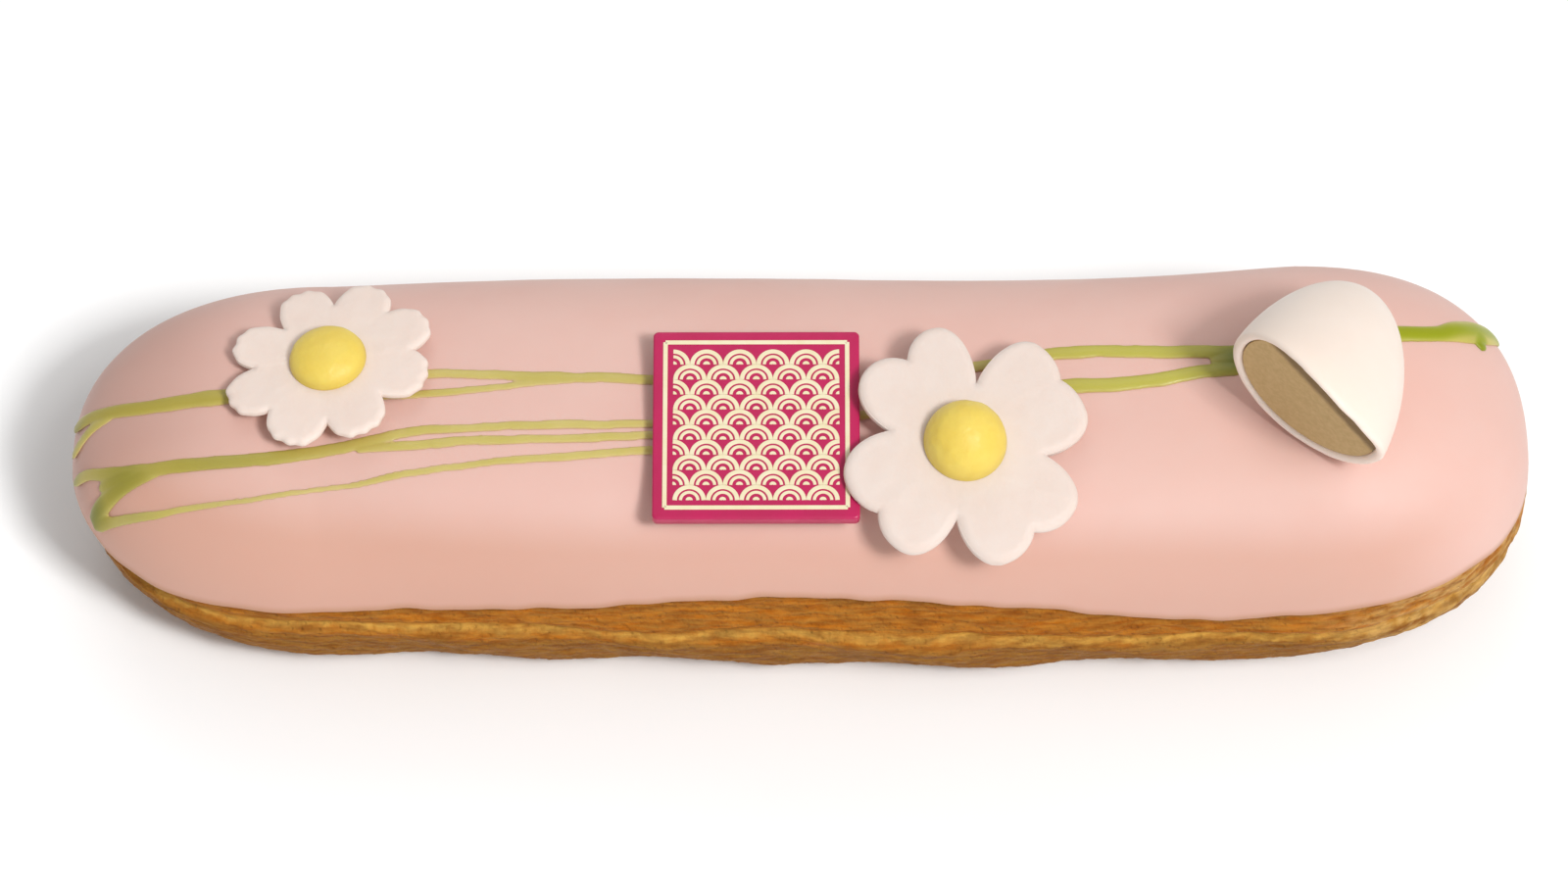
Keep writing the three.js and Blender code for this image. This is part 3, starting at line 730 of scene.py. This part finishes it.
def stemRings(route, seed):
    path = routeThrough(route, stems["step"])
    x, y, width = path.T
    count = len(path)
    wobble = stems["wobble"]
    drift = np.stack([x, y + wobble["apart"] * seed, x * 0], axis=-1)
    width = width * (1 + wobble["share"] * grain(drift, wobble))
    y = y + wobble["share"] * grain(drift + wobble["sideways"], wobble)
    toEnd = np.minimum(np.arange(count), np.arange(count)[::-1]) * stems["step"]
    narrowing = 1 - np.clip(toEnd / (stems["roundEnd"] * width), 0, 1)
    width = width * np.sqrt(1 - narrowing ** 2)
    middle = np.stack([x, y, icingTop(x, y)], axis=-1)
    normal = icingNormal(x, y)
    along = np.gradient(middle, axis=0)
    across = np.cross(normal, along)
    across /= np.linalg.norm(across, axis=-1, keepdims=True)
    angle = np.linspace(0, 2 * math.pi, stems["sides"], endpoint=False)
    sideways = (width / 2)[:, None] * np.cos(angle)
    upward = (width * stems["height"])[:, None] * np.sin(angle)
    rings = middle[:, None] + sideways[..., None] * across[:, None] + upward[..., None] * normal[:, None]
    return rings, path


def makeStems():
    joined = bmesh.new()
    paths = []
    for seed, (routeName, route) in enumerate(stems["routes"].items()):
        rings, path = stemRings(route, seed)
        strand = ringsMesh("strand", rings, scale=1)
        joined.from_mesh(strand)
        bpy.data.meshes.remove(strand)
        if routeName != "film":
            paths.append(path)
    whole = bpy.data.meshes.new("stems")
    joined.to_mesh(whole)
    joined.free()
    helper = addObject("stemsHelper", whole)
    fuse = helper.modifiers.new("fuse", "REMESH")
    fuse.mode = "VOXEL"
    fuse.voxel_size = stems["voxel"]
    soften = helper.modifiers.new("soften", "SMOOTH")
    soften.factor, soften.iterations = stems["soften"]
    evaluated = helper.evaluated_get(bpy.context.evaluated_depsgraph_get())
    mesh = bpy.data.meshes.new_from_object(evaluated)
    bpy.data.objects.remove(helper)
    bpy.data.meshes.remove(whole)
    mesh.name = "stems"

    paths = np.vstack(paths)
    tree = KDTree(len(paths))
    for index, (x, y) in enumerate(paths[:, :2]):
        tree.insert((x, y, float(icingTop(x, y))), index)
    tree.balance()
    bodies = ease(*stems["bodyWidths"], paths[:, 2])
    farthest = stems["bodyReach"][0]
    points = np.array([vertex.co for vertex in mesh.vertices])
    body = []
    for point in points:  # the widest strand near by, less and less with the distance
        near = np.array([(bodies[index], away) for spot, index, away in tree.find_range(point, farthest)])
        body.append(np.max(near[:, 0] * ease(*stems["bodyReach"], near[:, 1])) if len(near) else 0.0)
    body = np.array(body)
    x, y, z = points.T
    # painted shade and darker olive green round the listed spots
    shadeAndDarkGreen = [by * smooth(np.hypot(x - atX, y - atY), span) for atX, atY, span, by in stems["shadeAndDarkGreen"]]
    masks = {"body": body, "shadeAndDarkGreen": np.max(shadeAndDarkGreen, axis=0)}
    least = stems["leastGreen"]
    for green in ("fresh", "lime"):
        masks[green] = ease(*stems[green], x) * (least + (1 - least) * body)
    rim = stems["rim"]
    foot = ease(*rim["heights"], z - icingTop(x, y))
    masks["rim"] = foot * (1 - masks["lime"]) * (1 - rim["bodyLoss"] * body)
    setMasks(mesh, masks)
    mesh.transform(Matrix.Scale(mm, 4))
    mesh.shade_smooth()
    return mesh


addPiece("pipedStems", makeStems(), foodMaterial("greenIcing", stems["look"]), "piped_green", "icing")


# sugar flowers: one rippled outline of petals, laid on the icing, with a domed heart
sugarWhite = {
    "driftAmount": 0.35, "patchSize": (4, 4, 4),
    "roughness": 0.55, "roughnessChange": 0.1, "specular": 0.35,
    "grainSize": 0.35, "pitSize": 0.6, "pitShare": 0.3, "bumpStrength": 0.3, "bumpDepth": 0.05,
    "glow": 0.3, "glowDepth": 1.2, "glowTint": (1.0, 0.8, 0.7),
}
sugarYellow = {
    "color": (250, 222, 104), "driftColor": (244, 208, 84), "driftAmount": 0.45,
    "patchSize": (2.4, 2.4, 2.4),
    "roughness": 0.42, "roughnessChange": 0.1, "specular": 0.4,
    "grainSize": 0.3, "pitSize": 0.5, "pitShare": 0.3, "bumpStrength": 0.35, "bumpDepth": 0.06,
    "glow": 0.25, "glowDepth": 1.0, "glowTint": (1.0, 0.8, 0.3),
    # a darker, more orange foot on the heart: painted shade
    "masks": [("rim", (228, 196, 84), 0.3)],
}
daisy = {
    "x": -44.4, "y": 2.2, "lift": 0.9, "tip": -5, "drape": 0.4, "drapeLimit": 4.0,
    "radius": 9.9, "thickness": 1.3,
    "lobes": [  # angle, and share of the radius
        (24, 1.04), (68, 1), (109, 0.96), (165, 0.96), (201, 1.03), (250, 1), (293, 0.94), (349, 0.98),
    ],
    "gaps": [0.8, 0.7, 0.62, 0.72, 0.78, 0.72, 0.68, 0.82],  # between each lobe and the next
    "middle": 0.64, "squareness": 2.5,  # of a lobe
    "teeth": 0.018, "toothCount": 40,
    "edge": 0.7,  # width of the rounded rim
    "hollow": 0.5, "wall": 0.7,  # shares of the height, under the rim and beside it
    "curl": 0.24,
    "white": {"color": (250, 232, 221), "driftColor": (246, 222, 208)},
    "heart": {"radius": 3.65, "height": 1.9, "sink": 0.4},
}
blossom = {
    "x": 15.3, "y": -7.85, "lift": 1.8, "lean": 5, "drape": 0.3, "drapeLimit": 4.0,
    "radius": 12.05, "thickness": 1.5,
    "lobes": [(17, 1), (55, 1.03), (103, 1), (142, 0.97), (200, 0.98), (240, 1), (288, 1), (328, 1)],
    "gaps": [0.94, 0.52, 0.82, 0.6, 0.88, 0.62, 0.88, 0.64],
    "middle": 0.62, "squareness": 2.1,
    "teeth": 0.0, "toothCount": 0,
    "edge": 0.9, "hollow": 0.45, "wall": 0.6,
    "curl": 0.2,
    "white": {"color": (240, 224, 214), "driftColor": (236, 213, 200)},
    "heart": {"radius": 3.9, "height": 3.8, "sink": 0.4},
}
petalMesh = {
    "curveSteps": 400,
    "halfLobeSteps": 36,
    "underRows": (0, 0.3, 0.6, 0.85, 1),  # shares of the way out
    "hollowRise": (0.45, 1),
    "wallRows": (0.25, 0.6, 1),  # shares of the way up
    "topRows": 63,
    "topSpacing": 1.7,
    "curlTurn": (2.4, 0.7),  # so that neighbours curl unlike each other
    "soft": {"height": 0.03, "size": 1.6, "octaves": 3},
}
heartMesh = {
    "columns": 96,
    "rows": 30,
    "footShare": 0.97,  # of the radius, where the foot sinks into the petals
    "rough": {"share": 0.012, "size": 1.1, "octaves": 3},
    "rim": (1.1, 0.0),  # the painted shade round the heart's foot fades out over this height
}


# outline of a flower: lobes like half superellipses, each as wide as the gap beside it leaves room for
def flowerOutline(flower):
    middle, roundness = flower["middle"], flower["squareness"]
    turn = np.linspace(0, math.pi, petalMesh["curveSteps"])
    lobes = flower["lobes"]
    angles, reaches, spreads, owners = [], [], [], []

    def halfLobe(index, gapIndex, side):
        at, reach = lobes[index]
        half = (side * (lobes[(index + side) % len(lobes)][0] - at)) % 360 / 2
        gap = flower["gaps"][gapIndex] / reach
        bend = np.radians(half)
        inward = abs(gap * math.cos(bend) - middle) / (1 - middle)
        width = gap * math.sin(bend) / (1 - inward ** roundness) ** (1 / roundness)
        along = middle + (1 - middle) * power(np.cos(turn), 2 / roundness)
        across = width * power(np.sin(turn), 2 / roundness)
        slant = np.arctan2(across, along)
        outer = slice(0, np.argmax(slant) + 1)
        steps = np.arange(petalMesh["halfLobeSteps"]) / petalMesh["halfLobeSteps"]
        spread = steps if side > 0 else 1 - steps
        angles.append(np.radians(at + side * half * spread))
        reaches.append(reach * np.interp(spread * bend, slant[outer], np.hypot(along, across)[outer]))
        spreads.append(spread)
        owners.append(spread * 0 + index)

    for index in range(len(lobes)):
        halfLobe(index, index - 1, -1)
        halfLobe(index, index, 1)
    angle, spread = np.concatenate(angles), np.concatenate(spreads)
    bite = flower["teeth"] * (0.5 + 0.5 * np.sin(flower["toothCount"] * angle)) * (1 - spread ** 2)
    return angle, flower["radius"] * (np.concatenate(reaches) - bite), spread, np.concatenate(owners)


def makePetals(flower, matrix):
    angle, reach, spread, lobe = flowerOutline(flower)
    # the underside is hollow, the wall upright, and the top rises with the distance from the outline
    under = np.array(petalMesh["underRows"])
    wall = np.array(petalMesh["wallRows"])
    top = 1 - np.linspace(0, 1, petalMesh["topRows"] + 1)[1:] ** petalMesh["topSpacing"]
    share = np.concatenate([under, wall * 0 + 1, top])[:, None]
    outline = reach[:, None] * np.stack([np.cos(angle), np.sin(angle)], axis=-1)
    tree = KDTree(len(outline))
    for index, point in enumerate(outline):
        tree.insert((*point, 0), index)
    tree.balance()
    inside = [[tree.find((*(point * inward), 0))[2] for point in outline] for inward in top]
    rising = np.minimum(1, np.array(inside) / flower["edge"])
    low, high = flower["hollow"], flower["wall"]
    topLevel = high + (1 - high) * np.sqrt(1 - (1 - rising) ** 2)
    hollow = low * ease(*petalMesh["hollowRise"], under)
    lower = np.concatenate([hollow, low + (high - low) * wall])[:, None]
    upper = np.concatenate([lower + reach * 0, topLevel])
    level = flower["thickness"] * upper

    curlStep, curlStart = petalMesh["curlTurn"]
    curl = flower["curl"] * np.sin(curlStep * lobe + curlStart) * (1 - spread ** 2) * share ** 2
    x = share * reach * np.cos(angle)
    y = share * reach * np.sin(angle)
    below = placed(np.stack([x, y, x * 0 - flower["lift"]], axis=-1), matrix)
    sag = np.maximum(0, below[..., 2] - icingTop(below[..., 0], below[..., 1]))
    droop = flower["drape"] * sag / (1 + sag / flower["drapeLimit"])
    z = level + curl - droop
    soft = petalMesh["soft"]["height"] * grain(np.stack([x, y, z], axis=-1), petalMesh["soft"]) * upper
    return ringsMesh("petals", placed(np.stack([x, y, z + soft], axis=-1), matrix))


def makeHeart(flower, matrix):
    heart = flower["heart"]
    columns = np.linspace(0, 2 * math.pi, heartMesh["columns"], endpoint=False)
    rise = np.linspace(0, math.pi / 2, heartMesh["rows"])[:, None]
    dome = heart["radius"] * np.cos(rise)
    domeLevel = flower["thickness"] + finger["gap"] + heart["height"] * np.sin(rise)
    foot = np.array([[0.0], [heart["radius"] * heartMesh["footShare"]], [heart["radius"]]])
    footLevel = flower["thickness"] + np.array([[-heart["sink"]], [-heart["sink"]], [0.0]])
    radius = np.concatenate([foot, dome])
    level = np.concatenate([footLevel, domeLevel])
    points = np.stack([radius * np.cos(columns), radius * np.sin(columns), level + columns * 0], axis=-1)
    rough = heartMesh["rough"]
    skinRows = points[len(foot) + 1:-1]
    skinRows *= 1 - rough["share"] + rough["share"] * grain(skinRows, rough)[..., None]
    # darker towards the heart's foot: painted shade
    rim = ease(*heartMesh["rim"], level - flower["thickness"] - finger["gap"]) + columns * 0
    return ringsMesh("heart", placed(points, matrix), rim=rim)


heartPaste = foodMaterial("yellowSugar", sugarYellow)
for flowerName, flower in {"daisy": daisy, "blossom": blossom}.items():
    seat = seatMatrix(flower)
    petalPaste = foodMaterial(flowerName + "Sugar", {**sugarWhite, **flower["white"]})
    addPiece(flowerName + "Petals", makePetals(flower, seat), petalPaste,
             "sugar_white", flowerName + "_petals")
    addPiece(flowerName + "Heart", makeHeart(flower, seat), heartPaste,
             "sugar_yellow", flowerName + "_heart")


# chocolate plaque with a cream print of scallop rows inside a frame line
plaque = {
    "x": -4.1, "y": -5.7, "lift": 0.6,
    "side": 19.4, "thickness": 1.3, "corner": 0.5, "bevel": 0.2,
    "cornerSteps": 15,
    "bevelStep": 22.5,  # degrees
    "rimRow": 0.8,  # from the outline, on both faces
    "sway": {"height": 0.02, "size": 3.0, "octaves": 2, "stretch": (1, 1, 0.3)},  # of the poured faces
    "field": 15.6,  # side of the printed square
    "columns": 5,
    "rows": 10,
    "frameAt": 8.55,  # from the middle
    "line": 0.42,
    "thinLine": 0.3,
    "innerArcs": (0.52, 0.12),  # shares of a scallop's radius
    "arcSteps": 24,
    "lineSteps": 8,
    "relief": 0.05,
    "root": 0.05,  # depth of a line in the plaque
    "lineTop": (0.75, 0.02),  # share of the width that is flat, and its rise over the sides
    "look": {
        "color": (202, 32, 94), "driftColor": (184, 24, 80), "driftAmount": 0.5, "patchSize": (3, 3, 3),
        "roughness": 0.32, "roughnessChange": 0.1, "specular": 0.4,
        "grainSize": 0.5, "pitSize": 0.9, "pitShare": 0.2, "bumpStrength": 0.2, "bumpDepth": 0.05,
        "glow": 0.08, "glowDepth": 0.4, "glowTint": (1.0, 0.3, 0.4),
    },
    "printLook": {
        "color": (250, 240, 204), "driftColor": (244, 226, 176), "driftAmount": 0.5,
        "patchSize": (1.5, 1.5, 1.5),
        "roughness": 0.42, "roughnessChange": 0.1, "specular": 0.35,
        "grainSize": 0.3, "pitSize": 0.5, "pitShare": 0.2, "bumpStrength": 0.2, "bumpDepth": 0.03,
    },
}


def makePlaque(matrix):
    steps = plaque["cornerSteps"]
    angle = np.radians(np.arange(4 * steps) * 90 / steps)
    outward = np.stack([np.cos(angle), np.sin(angle)], axis=-1)
    quarter = np.arange(4 * steps) // steps * math.pi / 2 + math.pi / 4
    corners = np.sign(np.stack([np.cos(quarter), np.sin(quarter)], axis=-1))
    half = plaque["side"] / 2
    bevel = plaque["bevel"]
    thick = plaque["thickness"]
    rows = [(-half, 0), (-plaque["rimRow"], 0)]  # from the outline and above the base
    for turn in np.radians(np.arange(-90, 91, plaque["bevelStep"])):
        level = bevel * (1 + math.sin(turn)) if turn < 0 else thick - bevel * (1 - math.sin(turn))
        rows.append((-bevel * (1 - math.cos(turn)), level))
    rows += [(-plaque["rimRow"], thick), (-half, thick)]
    rings = []
    for inset, level in rows:
        arc = max(0.0, min(plaque["corner"], half + inset))
        flat = corners * (half + inset - arc) + outward * arc
        rings.append(np.concatenate([flat, flat[:, :1] * 0 + level], axis=-1))
    rings = np.array(rings)
    rings[..., 2] += plaque["sway"]["height"] * grain(rings, plaque["sway"])
    return ringsMesh("plaque", placed(rings, matrix))


# one raised line of the print, along points on the plaque's face
def printLine(work, points, width, matrix):
    points = np.array(points, float)
    along = np.gradient(points, axis=0)
    along /= np.linalg.norm(along, axis=1, keepdims=True)
    side = np.stack([-along[:, 1], along[:, 0]], axis=-1) * width / 2
    low = plaque["thickness"] - plaque["root"]
    high = plaque["thickness"] + plaque["relief"]
    flat, rise = plaque["lineTop"]
    edges = [(1, low), (1, high - rise), (flat, high), (-flat, high), (-1, high - rise), (-1, low)]
    loops = []
    for point, out in zip(points, side):
        local = np.array([[*(point + out * share), level] for share, level in edges])
        loops.append([work.verts.new(corner * mm) for corner in placed(local, matrix)])
    for before, after in zip(loops, loops[1:]):
        for k in range(len(edges)):
            following = (k + 1) % len(edges)
            work.faces.new([before[k], before[following], after[following], after[k]])
    work.faces.new(loops[0][::-1])
    work.faces.new(loops[-1])


def makePrint(matrix):
    work = bmesh.new()
    radius = plaque["field"] / plaque["columns"] / 2
    left = -plaque["field"] / 2
    for row in range(plaque["rows"]):
        shifted = row % 2
        for column in range(plaque["columns"] + shifted):
            middle = np.array([left + radius * (2 * column + 1 - shifted), left + radius * row])
            # half a scallop at the sides
            start = math.pi / 2 if shifted and column == plaque["columns"] else 0
            end = math.pi / 2 if shifted and column == 0 else math.pi
            angle = np.linspace(start, end, plaque["arcSteps"])
            arc = np.stack([np.cos(angle), np.sin(angle)], axis=-1)
            printLine(work, middle + arc * (radius - plaque["line"] / 2), plaque["line"], matrix)
            for share in plaque["innerArcs"]:
                printLine(work, middle + arc * radius * share, plaque["thinLine"], matrix)
    reach = plaque["frameAt"]
    for turn in range(4):
        spin = np.array(Matrix.Rotation(turn * math.pi / 2, 2))
        line = np.linspace((-reach, -reach), (reach, -reach), plaque["lineSteps"]) @ spin.T
        printLine(work, line, plaque["line"], matrix)
    bmesh.ops.recalc_face_normals(work, faces=work.faces)
    mesh = bpy.data.meshes.new("print")
    work.to_mesh(mesh)
    work.free()
    return mesh


seat = seatMatrix(plaque)
addPiece("plaquePlate", makePlaque(seat), foodMaterial("pinkChocolate", plaque["look"]),
         "plaque_pink", "plaque")
addPiece("plaquePrint", makePrint(seat), foodMaterial("creamPrint", plaque["printLook"]),
         "print_cream", "plaque")


# half egg on its side: a thin shell with an uneven rim, and the filling set back in it
egg = {
    "x": 47.0, "y": -8.35, "turn": 53.1, "pitch": 3.6,
    "radius": 8.68, "depth": 14.3, "fullness": 1.65, "skew": 0.185, "sag": 0.25,
    "lip": {"by": 2.55, "at": 215, "fade": 5},  # the rim is drawn out most at this angle round it
    "wall": 1.0, "recess": 0.35, "clearance": 0.05,
    "columns": 140, "rows": 44, "rimRows": 9,
    "unevenRim": {
        "height": 0.05, "size": 2.6, "octaves": 3, "stretch": (1, 1, 0),
        "span": 1.2, "inward": 0.7,  # dies out over this height, and mostly falls inward
    },
    "fillingGap": 0.1,
    "faceRows": 30,
    "faceEdge": 0.99,  # share of the filling's radius
    "crumb": {"height": 0.06, "size": 1.2, "octaves": 4, "fade": (1.0, 0.85)},  # of the cut face
    "shade": (1.5, 2.4),  # the filling darkens under the lip, from and to this far from its middle
    "look": {
        "color": (260, 240, 226), "driftColor": (256, 234, 219), "driftAmount": 0.4, "patchSize": (7, 7, 7),
        "roughness": 0.4, "roughnessChange": 0.1, "specular": 0.3,
        "grainSize": 0.9, "pitSize": 2.2, "pitShare": 0.15, "bumpStrength": 0.15, "bumpDepth": 0.06,
        "glow": 0.4, "glowDepth": 2.0, "glowTint": (1.0, 0.85, 0.75),
    },
    "fillingLook": {
        "color": (216, 184, 130), "driftColor": (198, 166, 112), "driftAmount": 0.5,
        "patchSize": (0.5, 0.5, 0.5),
        "roughness": 0.62, "roughnessChange": 0.12, "specular": 0.3,
        "grainSize": 0.3, "pitSize": 0.55, "pitShare": 0.4, "bumpStrength": 0.4, "bumpDepth": 0.06,
        "masks": [("shade", (112, 88, 56), 0.8)],
    },
}


def eggProfile(inset, start):
    depth = egg["depth"] - inset
    height = start + (depth - start) * np.sin(np.linspace(0, math.pi / 2, egg["rows"]))
    radius = (egg["radius"] - inset) * np.sqrt(np.maximum(0, 1 - (height / depth) ** egg["fullness"]))
    return np.stack([radius, height], axis=-1)


def eggRings(profile):
    angle = np.linspace(0, 2 * math.pi, egg["columns"], endpoint=False)
    radius, height = profile[:, :1], profile[:, 1:]
    return np.stack([radius * np.cos(angle), radius * np.sin(angle), height + angle * 0], axis=-1)


def makeShell():
    half = egg["wall"] / 2
    turn = np.linspace(0, math.pi, egg["rimRows"] + 2)[1:-1]
    rim = np.stack([egg["radius"] - half - half * np.cos(turn), half - half * np.sin(turn)], axis=-1)
    rings = eggRings(np.concatenate([eggProfile(egg["wall"], half)[::-1], rim, eggProfile(0, half)]))
    uneven = egg["unevenRim"]
    near = smooth(rings[..., 2], uneven["span"])
    rings[..., 2] += near * uneven["height"] * (grain(rings, uneven) + uneven["inward"])
    lip = egg["lip"]
    around = np.arctan2(rings[..., 1], rings[..., 0])
    facing = np.maximum(0, np.cos(around - math.radians(lip["at"])))
    nearRim = np.maximum(0, 1 - rings[..., 2] / egg["depth"]) ** lip["fade"]
    rings[..., 2] -= lip["by"] * facing ** 2 * nearRim
    return rings


def makeFilling():
    edge = eggProfile(egg["wall"] + egg["fillingGap"], egg["recess"])
    shares = np.linspace(0, egg["faceEdge"], egg["faceRows"])
    face = np.stack([shares * edge[0, 0], shares * 0 + egg["recess"]], axis=-1)
    rings = eggRings(np.concatenate([face, edge]))
    crumb = egg["crumb"]
    cut = rings[1:egg["faceRows"] + 1]  # all of the face but its middle
    fade = ease(*crumb["fade"], np.r_[shares[1:], 1.0][:, None])
    cut[..., 2] += crumb["height"] * fade * grain(cut, crumb)
    lipAt = math.radians(egg["lip"]["at"])
    toLip = rings[..., 0] * math.cos(lipAt) + rings[..., 1] * math.sin(lipAt)
    return rings, ease(*egg["shade"], toLip)


def eggMatrix(shellRings):
    shear = Matrix.Identity(4)
    shear[0][2] = egg["sag"]
    shear[1][2] = egg["skew"]
    turn = Matrix.Rotation(math.radians(egg["turn"]), 4, "Z")
    turn = turn @ Matrix.Rotation(math.radians(90 - egg["pitch"]), 4, "Y")
    matrix = Matrix.Translation((egg["x"], egg["y"], 0)) @ turn @ shear
    points = placed(shellRings, matrix)
    rise = np.max(icingTop(points[..., 0], points[..., 1]) + egg["clearance"] - points[..., 2])
    return Matrix.Translation((0, 0, rise)) @ matrix


shellRings = makeShell()
seat = eggMatrix(shellRings)
addPiece("eggShell", ringsMesh("shell", placed(shellRings, seat)),
         foodMaterial("whiteChocolate", egg["look"]), "white_chocolate", "egg_shell")
fillingRings, fillingShade = makeFilling()
addPiece("eggFilling", ringsMesh("filling", placed(fillingRings, seat), shade=fillingShade),
         foodMaterial("pralineFilling", egg["fillingLook"]), "praline", "egg_filling")


# pale floor, soft studio light and the camera
studio = {
    "floorSide": 4000,
    "floorGap": 0.02,  # below the part
    "paper": {"Base_Color": (0.97, 0.97, 0.97, 1), "Roughness": 0.9, "Specular_IOR_Level": 0.0},
    "sky": 0.45,
    "aim": (-1.5, 1.7, 14.0),
    "distance": 650,
    "elevation": 58,
    "pictureWidth": 1600,
    "pixelsPerMm": 10.61,  # at the aim
    "sensor": 36,
    "nearest": 10,  # that the camera shows
    "lights": {  # azimuth from +X towards the back, and elevation
        "keyLight": {"azimuth": -50, "elevation": 52, "distance": 1600, "size": 280, "power": 14.4},
        "topLight": {"azimuth": -48, "elevation": 60, "distance": 1600, "size": 420, "power": 5.8},
        "backLight": {"azimuth": 100, "elevation": 48, "distance": 1600, "size": 900, "power": 3.0},
    },
}


def makeStudio():
    half = studio["floorSide"] / 2 * mm
    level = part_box("choux")[0].z - studio["floorGap"] * mm
    floorMesh = bpy.data.meshes.new("floor")
    corners = [(-half, -half, level), (half, -half, level), (half, half, level), (-half, half, level)]
    floorMesh.from_pydata(corners, [], [(0, 1, 2, 3)])
    floor = addObject("floor", floorMesh)
    paper = bpy.data.materials.new("whitePaper")
    paper.use_nodes = True
    setInputs(paper.node_tree.nodes["Principled BSDF"], **studio["paper"])
    floorMesh.materials.append(paper)

    world = bpy.data.worlds.new("studio")
    world.use_nodes = True
    setInputs(world.node_tree.nodes["Background"], Color=(1, 1, 1, 1), Strength=studio["sky"])
    bpy.context.scene.world = world

    aim = Vector(studio["aim"]) * mm
    for lightName, spec in studio["lights"].items():
        lamp = bpy.data.lights.new(lightName, "AREA")
        lamp.energy = spec["power"]
        lamp.size = spec["size"] * mm
        light = addObject(lightName, lamp)
        tilt = Matrix.Rotation(math.radians(-spec["elevation"]), 3, "Y")
        turn = Matrix.Rotation(math.radians(spec["azimuth"]), 3, "Z")
        light.location = aim + turn @ tilt @ Vector((spec["distance"] * mm, 0, 0))
        light.rotation_euler = (aim - light.location).to_track_quat("-Z", "Y").to_euler()

    lens = bpy.data.cameras.new("camera")
    lens.sensor_width = studio["sensor"]
    lens.lens = studio["sensor"] * studio["distance"] * studio["pixelsPerMm"] / studio["pictureWidth"]
    lens.clip_start = studio["nearest"] * mm
    camera = addObject("camera", lens)
    tilt = math.radians(studio["elevation"])
    camera.location = aim + Vector((0, -math.cos(tilt), math.sin(tilt))) * studio["distance"] * mm
    camera.rotation_euler = (aim - camera.location).to_track_quat("-Z", "Y").to_euler()
    bpy.context.scene.camera = camera
    bpy.context.scene.view_settings.view_transform = "Standard"
    print("studio set")


makeStudio()
